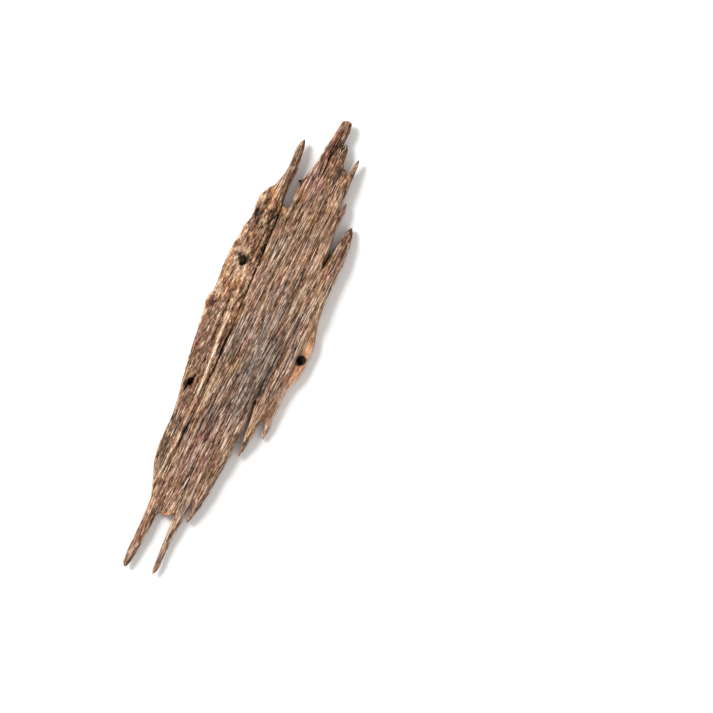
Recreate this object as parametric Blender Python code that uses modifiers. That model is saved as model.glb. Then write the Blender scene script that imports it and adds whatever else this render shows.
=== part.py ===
"""A piece of agarwood: a flat splinter of resin-dark heartwood, torn at both ends into long tines.

The piece lies on its back on the XY plane. +Y runs along the grain towards the spear-shaped end, +X runs
across it and +Z is up. The origin is under the middle of its box. Places are written in millimetres, as
(across the grain, along the grain), measured from a point near the middle of the face.
"""

import bmesh
import bpy
import numpy as np
from mathutils import Vector, noise

MM = 0.001
NODE = "agarwood_piece"

# Driving dimensions, in millimetres.
BLANK_THICKNESS = 2.4
EDGE_RADIUS_TOP = 1.5
EDGE_RADIUS_BACK = 1.2
# An edge that breaks off across the grain is rounded by this share of a long edge's radius.
TORN_END_SHARE = 0.3
# The share of the wood's height that stands square at its edge.
EDGE_WALL = 0.45
EDGE_WANDER = 0.45
MIDDLE_SHARE = 0.34
CROWN = 0.9
CROWN_HALF_WIDTH = 20.0
CROWN_AXIS = 2.0

# How finely the solid is built: the facets are longer along the grain than across it.
CELL = 0.36
GRAIN_STRETCH = 2.5
# Points within this share of the board's thickness from one of its faces count as lying on that face.
FACE_SHARE = 0.06
FACETS = 9600
SLIVER = 0.02
# Points of the back this near the surface that the piece lies on are on it.
REST_PLAY = 0.04

# The left side, from the prong's tip down to the root of the first tine.
LEFT_SIDE = [
    (-11.7, 75.8), (-12.4, 74.8), (-12.8, 72.5), (-12.6, 69), (-12.2, 65), (-12.4, 62), (-13.1, 59),
    (-14.0, 56.4), (-15.6, 54.8), (-16.2, 53), (-16.9, 50.5), (-16.9, 48), (-16.2, 45), (-16.1, 42.8),
    (-17.1, 39.5), (-17.1, 36), (-17.7, 31), (-17.6, 27), (-17.2, 21), (-16.7, 16), (-16.8, 13.6),
    (-17.6, 10.8), (-17.1, 8), (-16.3, 4.5), (-15.4, -1.5), (-14.6, -7), (-13.4, -13), (-12.2, -20),
    (-10.9, -26), (-10.0, -32), (-9.9, -41), (-9.3, -46.4), (-8.2, -50), (-6.2, -55), (-4.9, -58),
    (-3.9, -60),
]
# The lower end, from the left tine to the flank of the last one.
LOWER_END = [
    (-3.6, -64), (-3.1, -71), (-3.2, -79), (-2.9, -84), (-2.2, -86.4), (-1.6, -87.2), (-0.9, -86.6),
    (-0.3, -84), (-0.1, -78), (0.2, -71), (0.2, -66.6), (0.7, -64.9), (1.8, -64.5), (2.6, -65.3), (3.4, -65),
    (4.5, -64.2), (5.5, -63.3), (6.3, -62.6), (6.5, -65), (6.8, -70), (7.4, -76), (7.8, -81), (7.9, -84.2),
    (8.5, -85.3), (9.2, -84), (9.5, -81.6), (9.1, -76), (8.9, -71), (9.4, -65), (9.3, -58.6), (9.8, -57),
    (10.4, -57.3), (10.7, -61), (11.1, -64), (11.8, -62.4), (12.5, -58), (13.2, -53.5), (13.6, -48),
    (14.0, -39), (14.3, -30), (14.3, -22), (13.9, -17), (13.8, -14.6), (14.4, -14.9), (15.0, -18.6),
    (15.7, -24), (16.4, -30), (17.1, -35.6), (17.7, -31), (18.2, -25), (18.4, -20.6), (19.3, -19.2),
    (20.3, -20.2), (21.0, -22), (21.4, -24.4), (22.0, -25.8), (22.4, -23.6), (22.3, -20.4),
]
# The right side, up to the flared tine.
RIGHT_SIDE = [
    (21.7, -17), (21.5, -12.6), (21.8, -8), (22.1, -4.6), (23.0, -2.8), (23.8, -0.6), (24.1, 3), (24.1, 8.4),
    (23.6, 11.8), (22.7, 15.2), (21.5, 18.4), (20.7, 22.6), (20.1, 27), (19.9, 33), (19.9, 41), (19.4, 47),
    (18.8, 51), (17.9, 54),
]
# The upper end, from the flared tine to the spear and down to the slot beside the prong.
UPPER_END = [
    (16.9, 55.4), (16.1, 53.8), (15.4, 50), (14.9, 46), (14.6, 43), (14.2, 41.2), (13.8, 43), (13.1, 45.6),
    (12.5, 49), (12.2, 54), (12.2, 58), (11.9, 61), (11.5, 62.3), (11.1, 61), (11.0, 58.6), (10.8, 56.9),
    (10.3, 58.2), (9.9, 62), (9.7, 66), (9.4, 69), (9.2, 73), (9.0, 76.4), (8.7, 78), (8.2, 76.8), (7.9, 74),
    (7.6, 71), (7.2, 70.4), (6.6, 71.8), (6.0, 72.5), (5.1, 72.4), (4.4, 73.8), (3.9, 76.4), (3.4, 79),
    (2.6, 80.8), (2.0, 80.2), (1.7, 77.8), (1.3, 79), (1.2, 82), (1.3, 85), (0.9, 87.4), (0.2, 88.4),
    (-1.4, 88.2), (-2.5, 87.2), (-2.9, 84), (-3.2, 80), (-3.7, 75), (-4.1, 71.2), (-4.9, 67), (-5.6, 63.8),
    (-6.0, 62.5), (-7.2, 62.1), (-7.4, 61.5), (-6.1, 61.1), (-5.9, 58), (-5.7, 54), (-6.1, 51.6),
    (-7.2, 51.1), (-8.5, 51.6), (-9.1, 53.2), (-9.3, 57), (-9.6, 62), (-9.9, 67), (-10.4, 71.4),
    (-11.0, 74.4),
]
OUTLINE = LEFT_SIDE + LOWER_END + RIGHT_SIDE + UPPER_END

# Thickness of the wood along the grain, as (place, thickness), thin at the torn ends.
THICKNESS = [
    (-88, 2.1), (-76, 2.6), (-64, 3.7), (-50, 5.2), (-30, 6.6), (0, 7.5), (25, 7.3), (45, 6.5), (60, 5.5),
    (75, 4.2), (89, 2.9),
]
# How far the ends lift off the surface that the piece lies on.
END_LIFT = [(-88, 1.5), (-66, 0.5), (-45, 0.0), (45, 0.0), (68, 0.5), (89, 1.7)]

# The slivers' points, where the wood thins out by this share: (across, along, half width, half length).
TIP_THINNING = 0.55
TIPS = [
    (-11.7, 77.5, 2.2, 7.0), (-0.8, 90.0, 3.2, 6.5), (2.7, 81.5, 1.1, 4.5), (5.6, 74.0, 1.8, 3.5),
    (8.6, 79.0, 1.5, 6.0), (11.5, 63.0, 0.9, 4.0), (17.2, 56.5, 2.6, 7.0), (-7.6, 61.6, 1.2, 1.2),
    (-1.6, -88.5, 2.2, 7.5), (8.5, -86.5, 1.6, 7.5), (11.1, -65.5, 1.4, 5.5), (17.1, -37.0, 1.6, 7.5),
    (22.0, -27.0, 1.5, 5.0), (4.0, -66.0, 3.0, 3.0),
]

# Neighbouring slivers of the torn ends lie higher and lower than each other by up to this much.
SLIVER_PLAY = 1.1
SLIVER_ENDS = [(-88, 1.0), (-60, 0.6), (-46, 0.0), (44, 0.0), (58, 0.6), (89, 1.0)]

# Lines of the upper face: (height, half width, points down the grain). A groove has a negative height.
FACE_LINES = [
    (-0.9, 0.45, [(-8.4, 52), (-7.1, 40), (-6.8, 34), (-6.4, 28), (-5.5, 16), (-4.7, 3), (-4.3, -6)]),
    (-0.8, 0.5, [(-4.7, 3), (-4.3, -6), (-4.0, -12), (-3.6, -26), (-3.2, -42), (-3.0, -50)]),
    (0.9, 0.55, [(-9.4, 26), (-8.2, 10), (-7.2, 0), (-5.4, -16), (-4.8, -26), (-4.4, -40), (-5.0, -52)]),
    (-0.5, 0.9, [(-8.5, 52), (-7.6, 45), (-7.1, 37), (-6.7, 29)]),
    (-0.6, 0.5, [(-9.9, 51), (-9.5, 44), (-9.3, 36), (-9.8, 27)]),
    (-0.5, 0.5, [(-10.6, 16), (-9.4, 4), (-8.6, -6), (-8.2, -16)]),
    (-0.35, 0.5, [(-0.6, 76), (-0.4, 60), (-0.1, 44), (-0.2, 22), (0.3, 4)]),
    (0.2, 0.8, [(2.2, 74), (2.4, 56), (2.0, 36), (2.6, 16), (2.0, -6)]),
    (-0.45, 0.5, [(4.9, 74), (4.8, 60), (5.2, 46), (5.0, 32), (5.5, 18)]),
    (0.2, 0.8, [(7.4, 66), (7.5, 48), (7.2, 28), (7.8, 6), (7.4, -18)]),
    (-0.4, 0.5, [(10.0, 57), (9.7, 48), (9.9, 38), (9.6, 24), (10.2, 8)]),
    (-0.4, 0.5, [(14.1, 43), (13.7, 34), (13.3, 25), (13.0, 14), (13.2, 2)]),
    (0.25, 0.8, [(16.6, 46), (16.9, 32), (17.3, 16), (17.0, 0), (17.2, -14)]),
    (-0.8, 0.5, [(13.9, -14), (13.6, -8), (13.4, 0)]),
    (-0.3, 0.5, [(1.2, -4), (1.0, -20), (1.4, -36), (0.6, -50), (0.2, -62)]),
    (0.3, 0.8, [(11.4, -12), (11.3, -30), (11.3, -44), (11.1, -62)]),
    (-0.5, 0.5, [(9.3, -30), (9.0, -42), (9.3, -50), (9.8, -58)]),
    (0.3, 0.8, [(6.8, -22), (7.3, -44), (7.9, -62), (8.3, -84)]),
    (-0.4, 0.5, [(4.6, -28), (5.2, -44), (5.8, -56), (6.2, -63)]),
    (0.3, 0.9, [(-1.6, -40), (-2.0, -54), (-1.7, -70), (-1.6, -86)]),
    (0.5, 0.8, [(-11.6, 74), (-11.2, 62), (-11.4, 50), (-12.4, 38)]),
]
# Lines of the back, which is hollowed by long gouges.
BACK_LINES = [
    (1.3, 1.5, [(-10.5, 40), (-11, 20), (-10.4, 0), (-8.6, -20), (-6.4, -40)]),
    (1.5, 1.8, [(-1.0, 70), (0.4, 48), (1.0, 20), (0.2, -10), (1.2, -36)]),
    (1.1, 1.3, [(7.2, 56), (8.0, 34), (7.4, 10), (8.4, -16), (7.6, -44)]),
    (1.3, 1.6, [(14.2, 34), (15.2, 14), (14.4, -8), (16.2, -24)]),
]
# The lower, redder ledge of the right side: its inner border and how far it steps down.
LEDGE_BORDER = [(19.2, -30), (19.5, -16), (20.0, -5), (19.9, 4), (20.2, 14), (20.4, 26)]
LEDGE_DROP = 1.5
LEDGE_SLOPE = 0.7
# The pale, crumbly strip left of the long groove lies a little lower than the rest of the face.
STRIP_BORDER = [
    (-3.0, -50), (-3.6, -26), (-4.1, -10), (-4.7, 3), (-5.5, 16), (-6.4, 28), (-7.1, 40), (-8.4, 52),
]
STRIP_DROP = 0.45
STRIP_SLOPE = 0.8
STRIP_LUMPS = 0.9
STRIP_LUMP_SIZE = (2.6, 4.6)
FADE_LENGTH = 7.0
# The face swells and is ribbed along the grain: heights, and sizes as (across the grain, along it).
SWELL = 0.45
SWELL_SIZE = (9.0, 42.0)
RIBS = 0.2
RIB_SIZE = (1.7, 30.0)
FINE_RIBS = 0.14
FINE_RIB_SIZE = (0.9, 13.0)
# The back is rougher, in the same way. What comes out below BACK_WORN is worn away level.
BACK_LUMPS = 0.9
BACK_LUMP_SIZE = (6.0, 30.0)
BACK_RIBS = 0.4
BACK_RIB_SIZE = (1.7, 14.0)
BACK_WORN = 0.05
EDGE_WANDER_SIZE = (6.0, 11.0)
SLIVER_SIZE = (2.4, 60.0)

# Shallow pits of the upper face: (across, along, half width, half length, depth).
PITS = [
    (-15.0, 45.2, 1.0, 1.6, 1.5), (-7.0, 34.4, 0.75, 1.9, 2.4), (-16.2, 10.9, 0.8, 1.0, 0.8),
    (-14.4, 8.8, 0.6, 0.9, 0.7), (18.5, 8.0, 0.7, 0.8, 0.6), (-14.4, 29.6, 1.3, 0.5, 0.7),
    (-10.2, -20.7, 0.45, 1.3, 1.8), (-9.0, -16.3, 0.4, 1.1, 1.6), (-12.9, 50.2, 1.3, 1.2, 0.8),
    (-12.6, -4.4, 1.0, 1.9, 0.7), (14.2, 39.6, 0.7, 1.9, 1.4),
]

# Borers' holes: (radius, how many times longer along the grain, points of the gallery as across, along and
# height over the back's plane).
GALLERIES = {
    "round_hole": (1.65, 1.0, [(22.1, 6, 9), (21.9, 5.6, 4.6), (20.6, 3.6, 2.6), (18.6, 0.6, -2)]),
    "angular_hole": (1.45, 1.2, [(-12.2, 28.6, 10), (-12, 28.3, 6), (-11.4, 26.8, 3.9), (-10.8, 25, 3.2)]),
    "ragged_hole": (1.0, 1.35, [(-9.7, -18.2, 9), (-9.6, -18.3, 4.6), (-9.5, -19, 3), (-9.3, -19.8, 2.4)]),
}
HOLE_SIDES = 4


def stations(points):
    """(places, values) of a list of (value, place) pairs, sorted by place."""
    ordered = sorted(points, key=lambda point: point[1])
    return [point[1] for point in ordered], [point[0] for point in ordered]


def smooth_step(share):
    share = np.clip(share, 0.0, 1.0)
    return share * share * (3 - 2 * share)


def grain_noise(x, y, across, along, seed):
    """Smooth noise from -1 to 1 whose lumps are that wide across and that long along the grain."""
    values = (noise.noise(Vector((a / across, b / along, seed))) for a, b in zip(x, y))
    return np.fromiter(values, float, len(x))


def distance_to_outline(x, y):
    """How far each point lies from the face's nearest edge, and how much that edge runs across the grain."""
    corners = np.array(OUTLINE, float)
    nearest = np.full(len(x), np.inf)
    across = np.zeros(len(x))
    for (ax, ay), (bx, by) in zip(corners, np.roll(corners, -1, axis=0)):
        dx, dy = bx - ax, by - ay
        share = np.clip(((x - ax) * dx + (y - ay) * dy) / (dx * dx + dy * dy), 0, 1)
        distance = np.hypot(x - ax - share * dx, y - ay - share * dy)
        across = np.where(distance < nearest, abs(dx) / np.hypot(dx, dy), across)
        nearest = np.minimum(nearest, distance)
    return nearest, across


def within(places, y):
    """1 between a line's two ends, fading to 0 past them."""
    rise = smooth_step((y - places[0]) / FADE_LENGTH + 0.5)
    fall = smooth_step((places[-1] - y) / FADE_LENGTH + 0.5)
    return rise * fall


def line_relief(lines, x, y):
    """The summed height of long ridges and grooves, each fading out at its two ends."""
    total = np.zeros(len(x))
    for height, half_width, points in lines:
        places, values = stations(points)
        off = (x - np.interp(y, places, values)) / half_width
        total += height * np.exp(-off * off) * within(places, y)
    return total


def left_of(border, x, y, slope):
    """1 on the left of a border line and 0 on its right, fading to 0 past the border's two ends."""
    places, values = stations(border)
    side = smooth_step((np.interp(y, places, values) - x) / slope + 0.5)
    return side, within(places, y)


def rounding(distance, radius):
    """Rises from EDGE_WALL at the edge to 1 at the radius, along a quarter circle."""
    share = np.clip(distance / radius, 0, 1)
    return EDGE_WALL + (1 - EDGE_WALL) * np.sqrt(1 - (1 - share) ** 2)


def end_lift(x, y):
    """How high the middle of the wood rises at the ends, where each sliver has its own height."""
    play = SLIVER_PLAY * np.interp(y, *zip(*SLIVER_ENDS)) * (0.5 + 0.5 * grain_noise(x, y, *SLIVER_SIZE, 4.6))
    return np.interp(y, *zip(*END_LIFT)) + play


def thickness_left(x, y):
    """The share of the wood's thickness that is left, which drops towards the slivers' points."""
    left = np.ones(len(x))
    for across, along, half_width, half_length in TIPS:
        off = ((x - across) / half_width) ** 2 + ((y - along) / half_length) ** 2
        left = np.minimum(left, 1 - TIP_THINNING * np.exp(-off))
    return left


def pit_relief(x, y):
    """The summed depth of the pits, as a negative height."""
    total = np.zeros(len(x))
    for across, along, half_width, half_length, depth in PITS:
        off = ((x - across) / half_width) ** 2 + ((y - along) / half_length) ** 2
        total -= depth * np.exp(-off * off)
    return total


def back_height(x, y):
    """The back: flats worn level where the piece rests, with gouges and splits between them."""
    gouges = line_relief(BACK_LINES, x, y)
    rough = BACK_LUMPS * grain_noise(x, y, *BACK_LUMP_SIZE, 3.1)
    rough += BACK_RIBS * grain_noise(x, y, *BACK_RIB_SIZE, 8.4)
    return np.maximum(0.0, gouges + rough - BACK_WORN)


def face_height(x, y):
    """The upper face: crowned, ridged along the grain, with the pale strip and the red ledge lower."""
    crown = CROWN * ((x - CROWN_AXIS) / CROWN_HALF_WIDTH) ** 2
    strip, strip_range = left_of(STRIP_BORDER, x, y, STRIP_SLOPE)
    ledge, ledge_range = left_of(LEDGE_BORDER, x, y, LEDGE_SLOPE)
    strip = strip * strip_range
    lumps = STRIP_LUMPS * grain_noise(x, y, *STRIP_LUMP_SIZE, 5.7)
    swell = SWELL * grain_noise(x, y, *SWELL_SIZE, 1.3)
    ribs = RIBS * grain_noise(x, y, *RIB_SIZE, 2.2) + FINE_RIBS * grain_noise(x, y, *FINE_RIB_SIZE, 7.7)
    height = np.interp(y, *zip(*THICKNESS)) - crown + swell + ribs * (1 - 0.5 * strip)
    height += line_relief(FACE_LINES, x, y) + pit_relief(x, y)
    return height + strip * (lumps - STRIP_DROP) - LEDGE_DROP * (1 - ledge) * ledge_range


def shaped(points):
    """Moves the points of the flat blank to the piece's true heights."""
    x, y = points[:, 0], points[:, 1]
    level = (points[:, 2] / BLANK_THICKNESS + 0.5 - FACE_SHARE) / (1 - 2 * FACE_SHARE)
    edge, across_grain = distance_to_outline(x, y)
    back, face = back_height(x, y), face_height(x, y)
    middle = MIDDLE_SHARE * np.maximum(face, 1.0)
    wander = 1 + EDGE_WANDER * grain_noise(x, y, *EDGE_WANDER_SIZE, 9.9)
    wander *= 1 - (1 - TORN_END_SHARE) * across_grain
    left = thickness_left(x, y)
    top = middle + np.maximum(face - middle, 0.5) * rounding(edge, EDGE_RADIUS_TOP * wander) * left
    bottom = middle - np.maximum(middle - back, 0.4) * rounding(edge, EDGE_RADIUS_BACK * wander) * left
    height = bottom + (top - bottom) * np.clip(level, 0, 1) + end_lift(x, y)
    return np.column_stack([x, y, height])


def points_of(mesh):
    found = np.empty(len(mesh.vertices) * 3)
    mesh.vertices.foreach_get("co", found)
    return found.reshape(-1, 3)


def set_points(mesh, points):
    mesh.vertices.foreach_set("co", points.ravel())
    mesh.update()


def mesh_from(obj, name):
    """The object's evaluated mesh as a new object, in the old one's place."""
    graph = bpy.context.evaluated_depsgraph_get()
    mesh = bpy.data.meshes.new_from_object(obj.evaluated_get(graph))
    place = obj.matrix_world.copy()
    bpy.data.objects.remove(obj)
    made = bpy.data.objects.new(name, mesh)
    made.matrix_world = place
    return made


def modified(obj, kind, **settings):
    """Adds one modifier to the object."""
    modifier = obj.modifiers.new(kind.title(), kind)
    for key, value in settings.items():
        setattr(modifier, key, value)
    return modifier


def remeshed(obj, collection):
    """Rebuilds a closed mesh from even cells, GRAIN_STRETCH times as long along the grain as across it."""
    squeeze = np.array([1.0, 1 / GRAIN_STRETCH, 1.0])
    set_points(obj.data, points_of(obj.data) * squeeze)
    modified(obj, "REMESH", mode="VOXEL", voxel_size=CELL, adaptivity=0.0)
    rebuilt = mesh_from(obj, obj.name)
    collection.objects.link(rebuilt)
    set_points(rebuilt.data, points_of(rebuilt.data) / squeeze)
    return rebuilt


def flat_blank(collection):
    """The outline of the face as a flat board."""
    curve = bpy.data.curves.new("face_outline", "CURVE")
    curve.dimensions = "2D"
    curve.fill_mode = "BOTH"
    curve.extrude = BLANK_THICKNESS / 2
    spline = curve.splines.new("POLY")
    spline.points.add(len(OUTLINE) - 1)
    for point, (x, y) in zip(spline.points, OUTLINE):
        point.co = (x, y, 0, 1)
    spline.use_cyclic_u = True
    drawn = bpy.data.objects.new("face_outline", curve)
    collection.objects.link(drawn)
    bpy.context.view_layer.update()
    board = mesh_from(drawn, NODE)
    collection.objects.link(board)
    modified(board, "WELD", merge_threshold=0.0001)
    welded = mesh_from(board, NODE)
    collection.objects.link(welded)
    return welded


def gallery(name, radius, stretch, route, cutters):
    """A borer's tunnel as a closed tube along its route, stretched along the grain, to be cut away."""
    mouth = route[0][1]
    curve = bpy.data.curves.new(name, "CURVE")
    curve.dimensions = "3D"
    curve.bevel_depth = radius
    curve.bevel_resolution = HOLE_SIDES
    curve.use_fill_caps = True
    spline = curve.splines.new("POLY")
    spline.points.add(len(route) - 1)
    for point, (across, along, height) in zip(spline.points, route):
        point.co = (across, mouth + (along - mouth) / stretch, height, 1)
    drawn = bpy.data.objects.new(name, curve)
    cutters.objects.link(drawn)
    bpy.context.view_layer.update()
    tube = mesh_from(drawn, name)
    cutters.objects.link(tube)
    modified(tube, "WELD", merge_threshold=0.0001)
    welded = mesh_from(tube, name)
    cutters.objects.link(welded)
    points = points_of(welded.data)
    points[:, 1] = mouth + (points[:, 1] - mouth) * stretch
    set_points(welded.data, points)
    welded.display_type = "WIRE"
    welded.hide_render = True
    return welded


def without_slivers(obj):
    """Takes out the triangles that are too thin to count as faces."""
    mesh = bmesh.new()
    mesh.from_mesh(obj.data)
    bmesh.ops.dissolve_degenerate(mesh, dist=SLIVER, edges=mesh.edges)
    bmesh.ops.triangulate(mesh, faces=mesh.faces)
    mesh.to_mesh(obj.data)
    mesh.free()


def agarwood_finish():
    """Resin-soaked wood: dark brown, dry and dull."""
    finish = bpy.data.materials.new("agarwood")
    finish.use_nodes = True
    shader = finish.node_tree.nodes["Principled BSDF"]
    shader.inputs["Base Color"].default_value = (0.3, 0.19, 0.13, 1)
    shader.inputs["Roughness"].default_value = 0.72
    shader.inputs["Metallic"].default_value = 0.0
    return finish


def stood_on_its_origin(obj):
    """Scales the piece from millimetres to metres, with the origin under the middle of its box."""
    points = points_of(obj.data)
    low, high = points.min(axis=0), points.max(axis=0)
    points -= ((low[0] + high[0]) / 2, (low[1] + high[1]) / 2, low[2])
    points[points[:, 2] < REST_PLAY, 2] = 0.0
    set_points(obj.data, points * MM)


def main():
    for old in list(bpy.data.objects):
        bpy.data.objects.remove(old)
    piece = bpy.data.collections.new("agarwood")
    cutters = bpy.data.collections.new("cutters")
    for collection in (piece, cutters):
        bpy.context.scene.collection.children.link(collection)

    wood = remeshed(flat_blank(piece), piece)
    set_points(wood.data, shaped(points_of(wood.data)))
    for name, (radius, stretch, route) in GALLERIES.items():
        bore = gallery(name, radius, stretch, route, cutters)
        modified(wood, "BOOLEAN", operation="DIFFERENCE", object=bore)
    wood = mesh_from(wood, NODE)
    piece.objects.link(wood)
    triangles = sum(len(face.vertices) - 2 for face in wood.data.polygons)
    modified(wood, "DECIMATE", ratio=FACETS / triangles, use_collapse_triangulate=True)
    wood = mesh_from(wood, NODE)
    piece.objects.link(wood)
    without_slivers(wood)
    stood_on_its_origin(wood)
    wood.data.materials.clear()
    wood.data.materials.append(agarwood_finish())


main()
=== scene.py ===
import logging
import math
from dataclasses import dataclass
from enum import Enum

import bpy
import numpy as np
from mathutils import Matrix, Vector, noise
from mathutils.bvhtree import BVHTree


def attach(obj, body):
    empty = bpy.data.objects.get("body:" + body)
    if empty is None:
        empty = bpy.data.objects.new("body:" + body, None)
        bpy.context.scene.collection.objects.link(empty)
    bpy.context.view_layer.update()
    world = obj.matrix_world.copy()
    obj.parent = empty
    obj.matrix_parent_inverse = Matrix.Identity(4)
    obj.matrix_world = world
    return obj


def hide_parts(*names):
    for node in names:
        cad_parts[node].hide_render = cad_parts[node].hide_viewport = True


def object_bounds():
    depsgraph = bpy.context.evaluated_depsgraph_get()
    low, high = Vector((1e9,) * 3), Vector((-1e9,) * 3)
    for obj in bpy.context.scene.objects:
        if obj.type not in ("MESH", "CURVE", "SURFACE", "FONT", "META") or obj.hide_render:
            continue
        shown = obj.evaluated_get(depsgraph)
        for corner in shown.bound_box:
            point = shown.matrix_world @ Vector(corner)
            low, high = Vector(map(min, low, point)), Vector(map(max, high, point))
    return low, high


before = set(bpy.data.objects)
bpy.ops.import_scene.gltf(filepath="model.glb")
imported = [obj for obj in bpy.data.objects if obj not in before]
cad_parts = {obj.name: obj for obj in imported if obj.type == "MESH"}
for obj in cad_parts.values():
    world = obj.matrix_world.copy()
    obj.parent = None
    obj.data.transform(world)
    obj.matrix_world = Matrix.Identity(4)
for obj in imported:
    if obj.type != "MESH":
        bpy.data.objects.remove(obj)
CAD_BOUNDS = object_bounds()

LOG = logging.getLogger("agarwood")
NODE = "agarwood_piece"
BODY = "root"
MM = 0.001

Array = np.ndarray
Place = tuple[float, float]
Triple = tuple[float, float, float]
Values = dict[str, Array]
Tree = bpy.types.NodeTree
Socket = bpy.types.NodeSocket
Shares = dict[str, Socket]

# The face's outline in millimetres, as (across the grain, along the grain), against the clock from the
# prong's tip: the same named places as the solid's.
LEFT_SIDE: list[Place] = [
    (-11.7, 75.8), (-12.4, 74.8), (-12.8, 72.5), (-12.6, 69), (-12.2, 65), (-12.4, 62), (-13.1, 59),
    (-14.0, 56.4), (-15.6, 54.8), (-16.2, 53), (-16.9, 50.5), (-16.9, 48), (-16.2, 45), (-16.1, 42.8),
    (-17.1, 39.5), (-17.1, 36), (-17.7, 31), (-17.6, 27), (-17.2, 21), (-16.7, 16), (-16.8, 13.6),
    (-17.6, 10.8), (-17.1, 8), (-16.3, 4.5), (-15.4, -1.5), (-14.6, -7), (-13.4, -13), (-12.2, -20),
    (-10.9, -26), (-10.0, -32), (-9.9, -41), (-9.3, -46.4), (-8.2, -50), (-6.2, -55), (-4.9, -58),
    (-3.9, -60),
]
LOWER_END: list[Place] = [
    (-3.6, -64), (-3.1, -71), (-3.2, -79), (-2.9, -84), (-2.2, -86.4), (-1.6, -87.2), (-0.9, -86.6),
    (-0.3, -84), (-0.1, -78), (0.2, -71), (0.2, -66.6), (0.7, -64.9), (1.8, -64.5), (2.6, -65.3),
    (3.4, -65), (4.5, -64.2), (5.5, -63.3), (6.3, -62.6), (6.5, -65), (6.8, -70), (7.4, -76), (7.8, -81),
    (7.9, -84.2), (8.5, -85.3), (9.2, -84), (9.5, -81.6), (9.1, -76), (8.9, -71), (9.4, -65),
    (9.3, -58.6), (9.8, -57), (10.4, -57.3), (10.7, -61), (11.1, -64), (11.8, -62.4), (12.5, -58),
    (13.2, -53.5), (13.6, -48), (14.0, -39), (14.3, -30), (14.3, -22), (13.9, -17), (13.8, -14.6),
    (14.4, -14.9), (15.0, -18.6), (15.7, -24), (16.4, -30), (17.1, -35.6), (17.7, -31), (18.2, -25),
    (18.4, -20.6), (19.3, -19.2), (20.3, -20.2), (21.0, -22), (21.4, -24.4), (22.0, -25.8), (22.4, -23.6),
    (22.3, -20.4),
]
RIGHT_SIDE: list[Place] = [
    (21.7, -17), (21.5, -12.6), (21.8, -8), (22.1, -4.6), (23.0, -2.8), (23.8, -0.6), (24.1, 3),
    (24.1, 8.4), (23.6, 11.8), (22.7, 15.2), (21.5, 18.4), (20.7, 22.6), (20.1, 27), (19.9, 33),
    (19.9, 41), (19.4, 47), (18.8, 51), (17.9, 54),
]
UPPER_END: list[Place] = [
    (16.9, 55.4), (16.1, 53.8), (15.4, 50), (14.9, 46), (14.6, 43), (14.2, 41.2), (13.8, 43),
    (13.1, 45.6), (12.5, 49), (12.2, 54), (12.2, 58), (11.9, 61), (11.5, 62.3), (11.1, 61), (11.0, 58.6),
    (10.8, 56.9), (10.3, 58.2), (9.9, 62), (9.7, 66), (9.4, 69), (9.2, 73), (9.0, 76.4), (8.7, 78),
    (8.2, 76.8), (7.9, 74), (7.6, 71), (7.2, 70.4), (6.6, 71.8), (6.0, 72.5), (5.1, 72.4), (4.4, 73.8),
    (3.9, 76.4), (3.4, 79), (2.6, 80.8), (2.0, 80.2), (1.7, 77.8), (1.3, 79), (1.2, 82), (1.3, 85),
    (0.9, 87.4), (0.2, 88.4), (-1.4, 88.2), (-2.5, 87.2), (-2.9, 84), (-3.2, 80), (-3.7, 75),
    (-4.1, 71.2), (-4.9, 67), (-5.6, 63.8), (-6.0, 62.5), (-7.2, 62.1), (-7.4, 61.5), (-6.1, 61.1),
    (-5.9, 58), (-5.7, 54), (-6.1, 51.6), (-7.2, 51.1), (-8.5, 51.6), (-9.1, 53.2), (-9.3, 57),
    (-9.6, 62), (-9.9, 67), (-10.4, 71.4), (-11.0, 74.4),
]
OUTLINE: list[Place] = LEFT_SIDE + LOWER_END + RIGHT_SIDE + UPPER_END
# The middle of the solid's box, measured in the outline's own places.
OUTLINE_MIDDLE: Place = (3.2, 0.6)


class Shading(Enum):
    """The sharpest angle that is still shaded as a smooth bend, in degrees."""

    TORN_WOOD = 62.0
    FIBRE = 180.0


def linear(hex_colour: str) -> tuple[float, float, float, float]:
    """Turns an sRGB hex colour into linear light.

    Args:
        hex_colour: six hex digits after a hash sign.

    Returns:
        Red, green and blue in linear light, with full alpha.
    """
    parts = [int(hex_colour[i:i + 2], 16) / 255 for i in (1, 3, 5)]
    red, green, blue = (c / 12.92 if c <= 0.04045 else ((c + 0.055) / 1.055) ** 2.4 for c in parts)
    return red, green, blue, 1.0


def smooth_step(share: Array) -> Array:
    """Eases a share from 0 to 1, and holds it there outside that range."""
    share = np.clip(share, 0.0, 1.0)
    return share * share * (3 - 2 * share)


def course(points: tuple[Place, ...], y: Array) -> tuple[Array, float, float]:
    """Follows a line of points along the grain.

    Args:
        points: the line's points.
        y: places along the grain.

    Returns:
        The line's places across the grain there, and where it starts and ends.
    """
    across, along = zip(*sorted(points, key=lambda point: point[1]))
    return np.interp(y, along, across), along[0], along[-1]


def points_of(obj: bpy.types.Object) -> Array:
    """Reads the object's vertices.

    Args:
        obj: a mesh object.

    Returns:
        Rows of x, y, z.
    """
    found = np.empty(len(obj.data.vertices) * 3)
    obj.data.vertices.foreach_get("co", found)
    return found.reshape(-1, 3)


def set_points(obj: bpy.types.Object, points: Array) -> None:
    """Moves the object's vertices to these rows of x, y, z."""
    obj.data.vertices.foreach_set("co", points.ravel())
    obj.data.update()


def at_rest(points: Array, lowest: float) -> Array:
    """Moves points from the outline's own places to the frame's, and holds them inside the solid's box.

    Args:
        points: rows of x, y, z in millimetres.
        lowest: the height of the wood's lowest point before the move.

    Returns:
        The points in the frame, in metres.
    """
    bounds = np.array(CAD_BOUNDS)
    return np.clip((points - (*OUTLINE_MIDDLE, lowest)) * MM, bounds.min(axis=0), bounds.max(axis=0))


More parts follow.
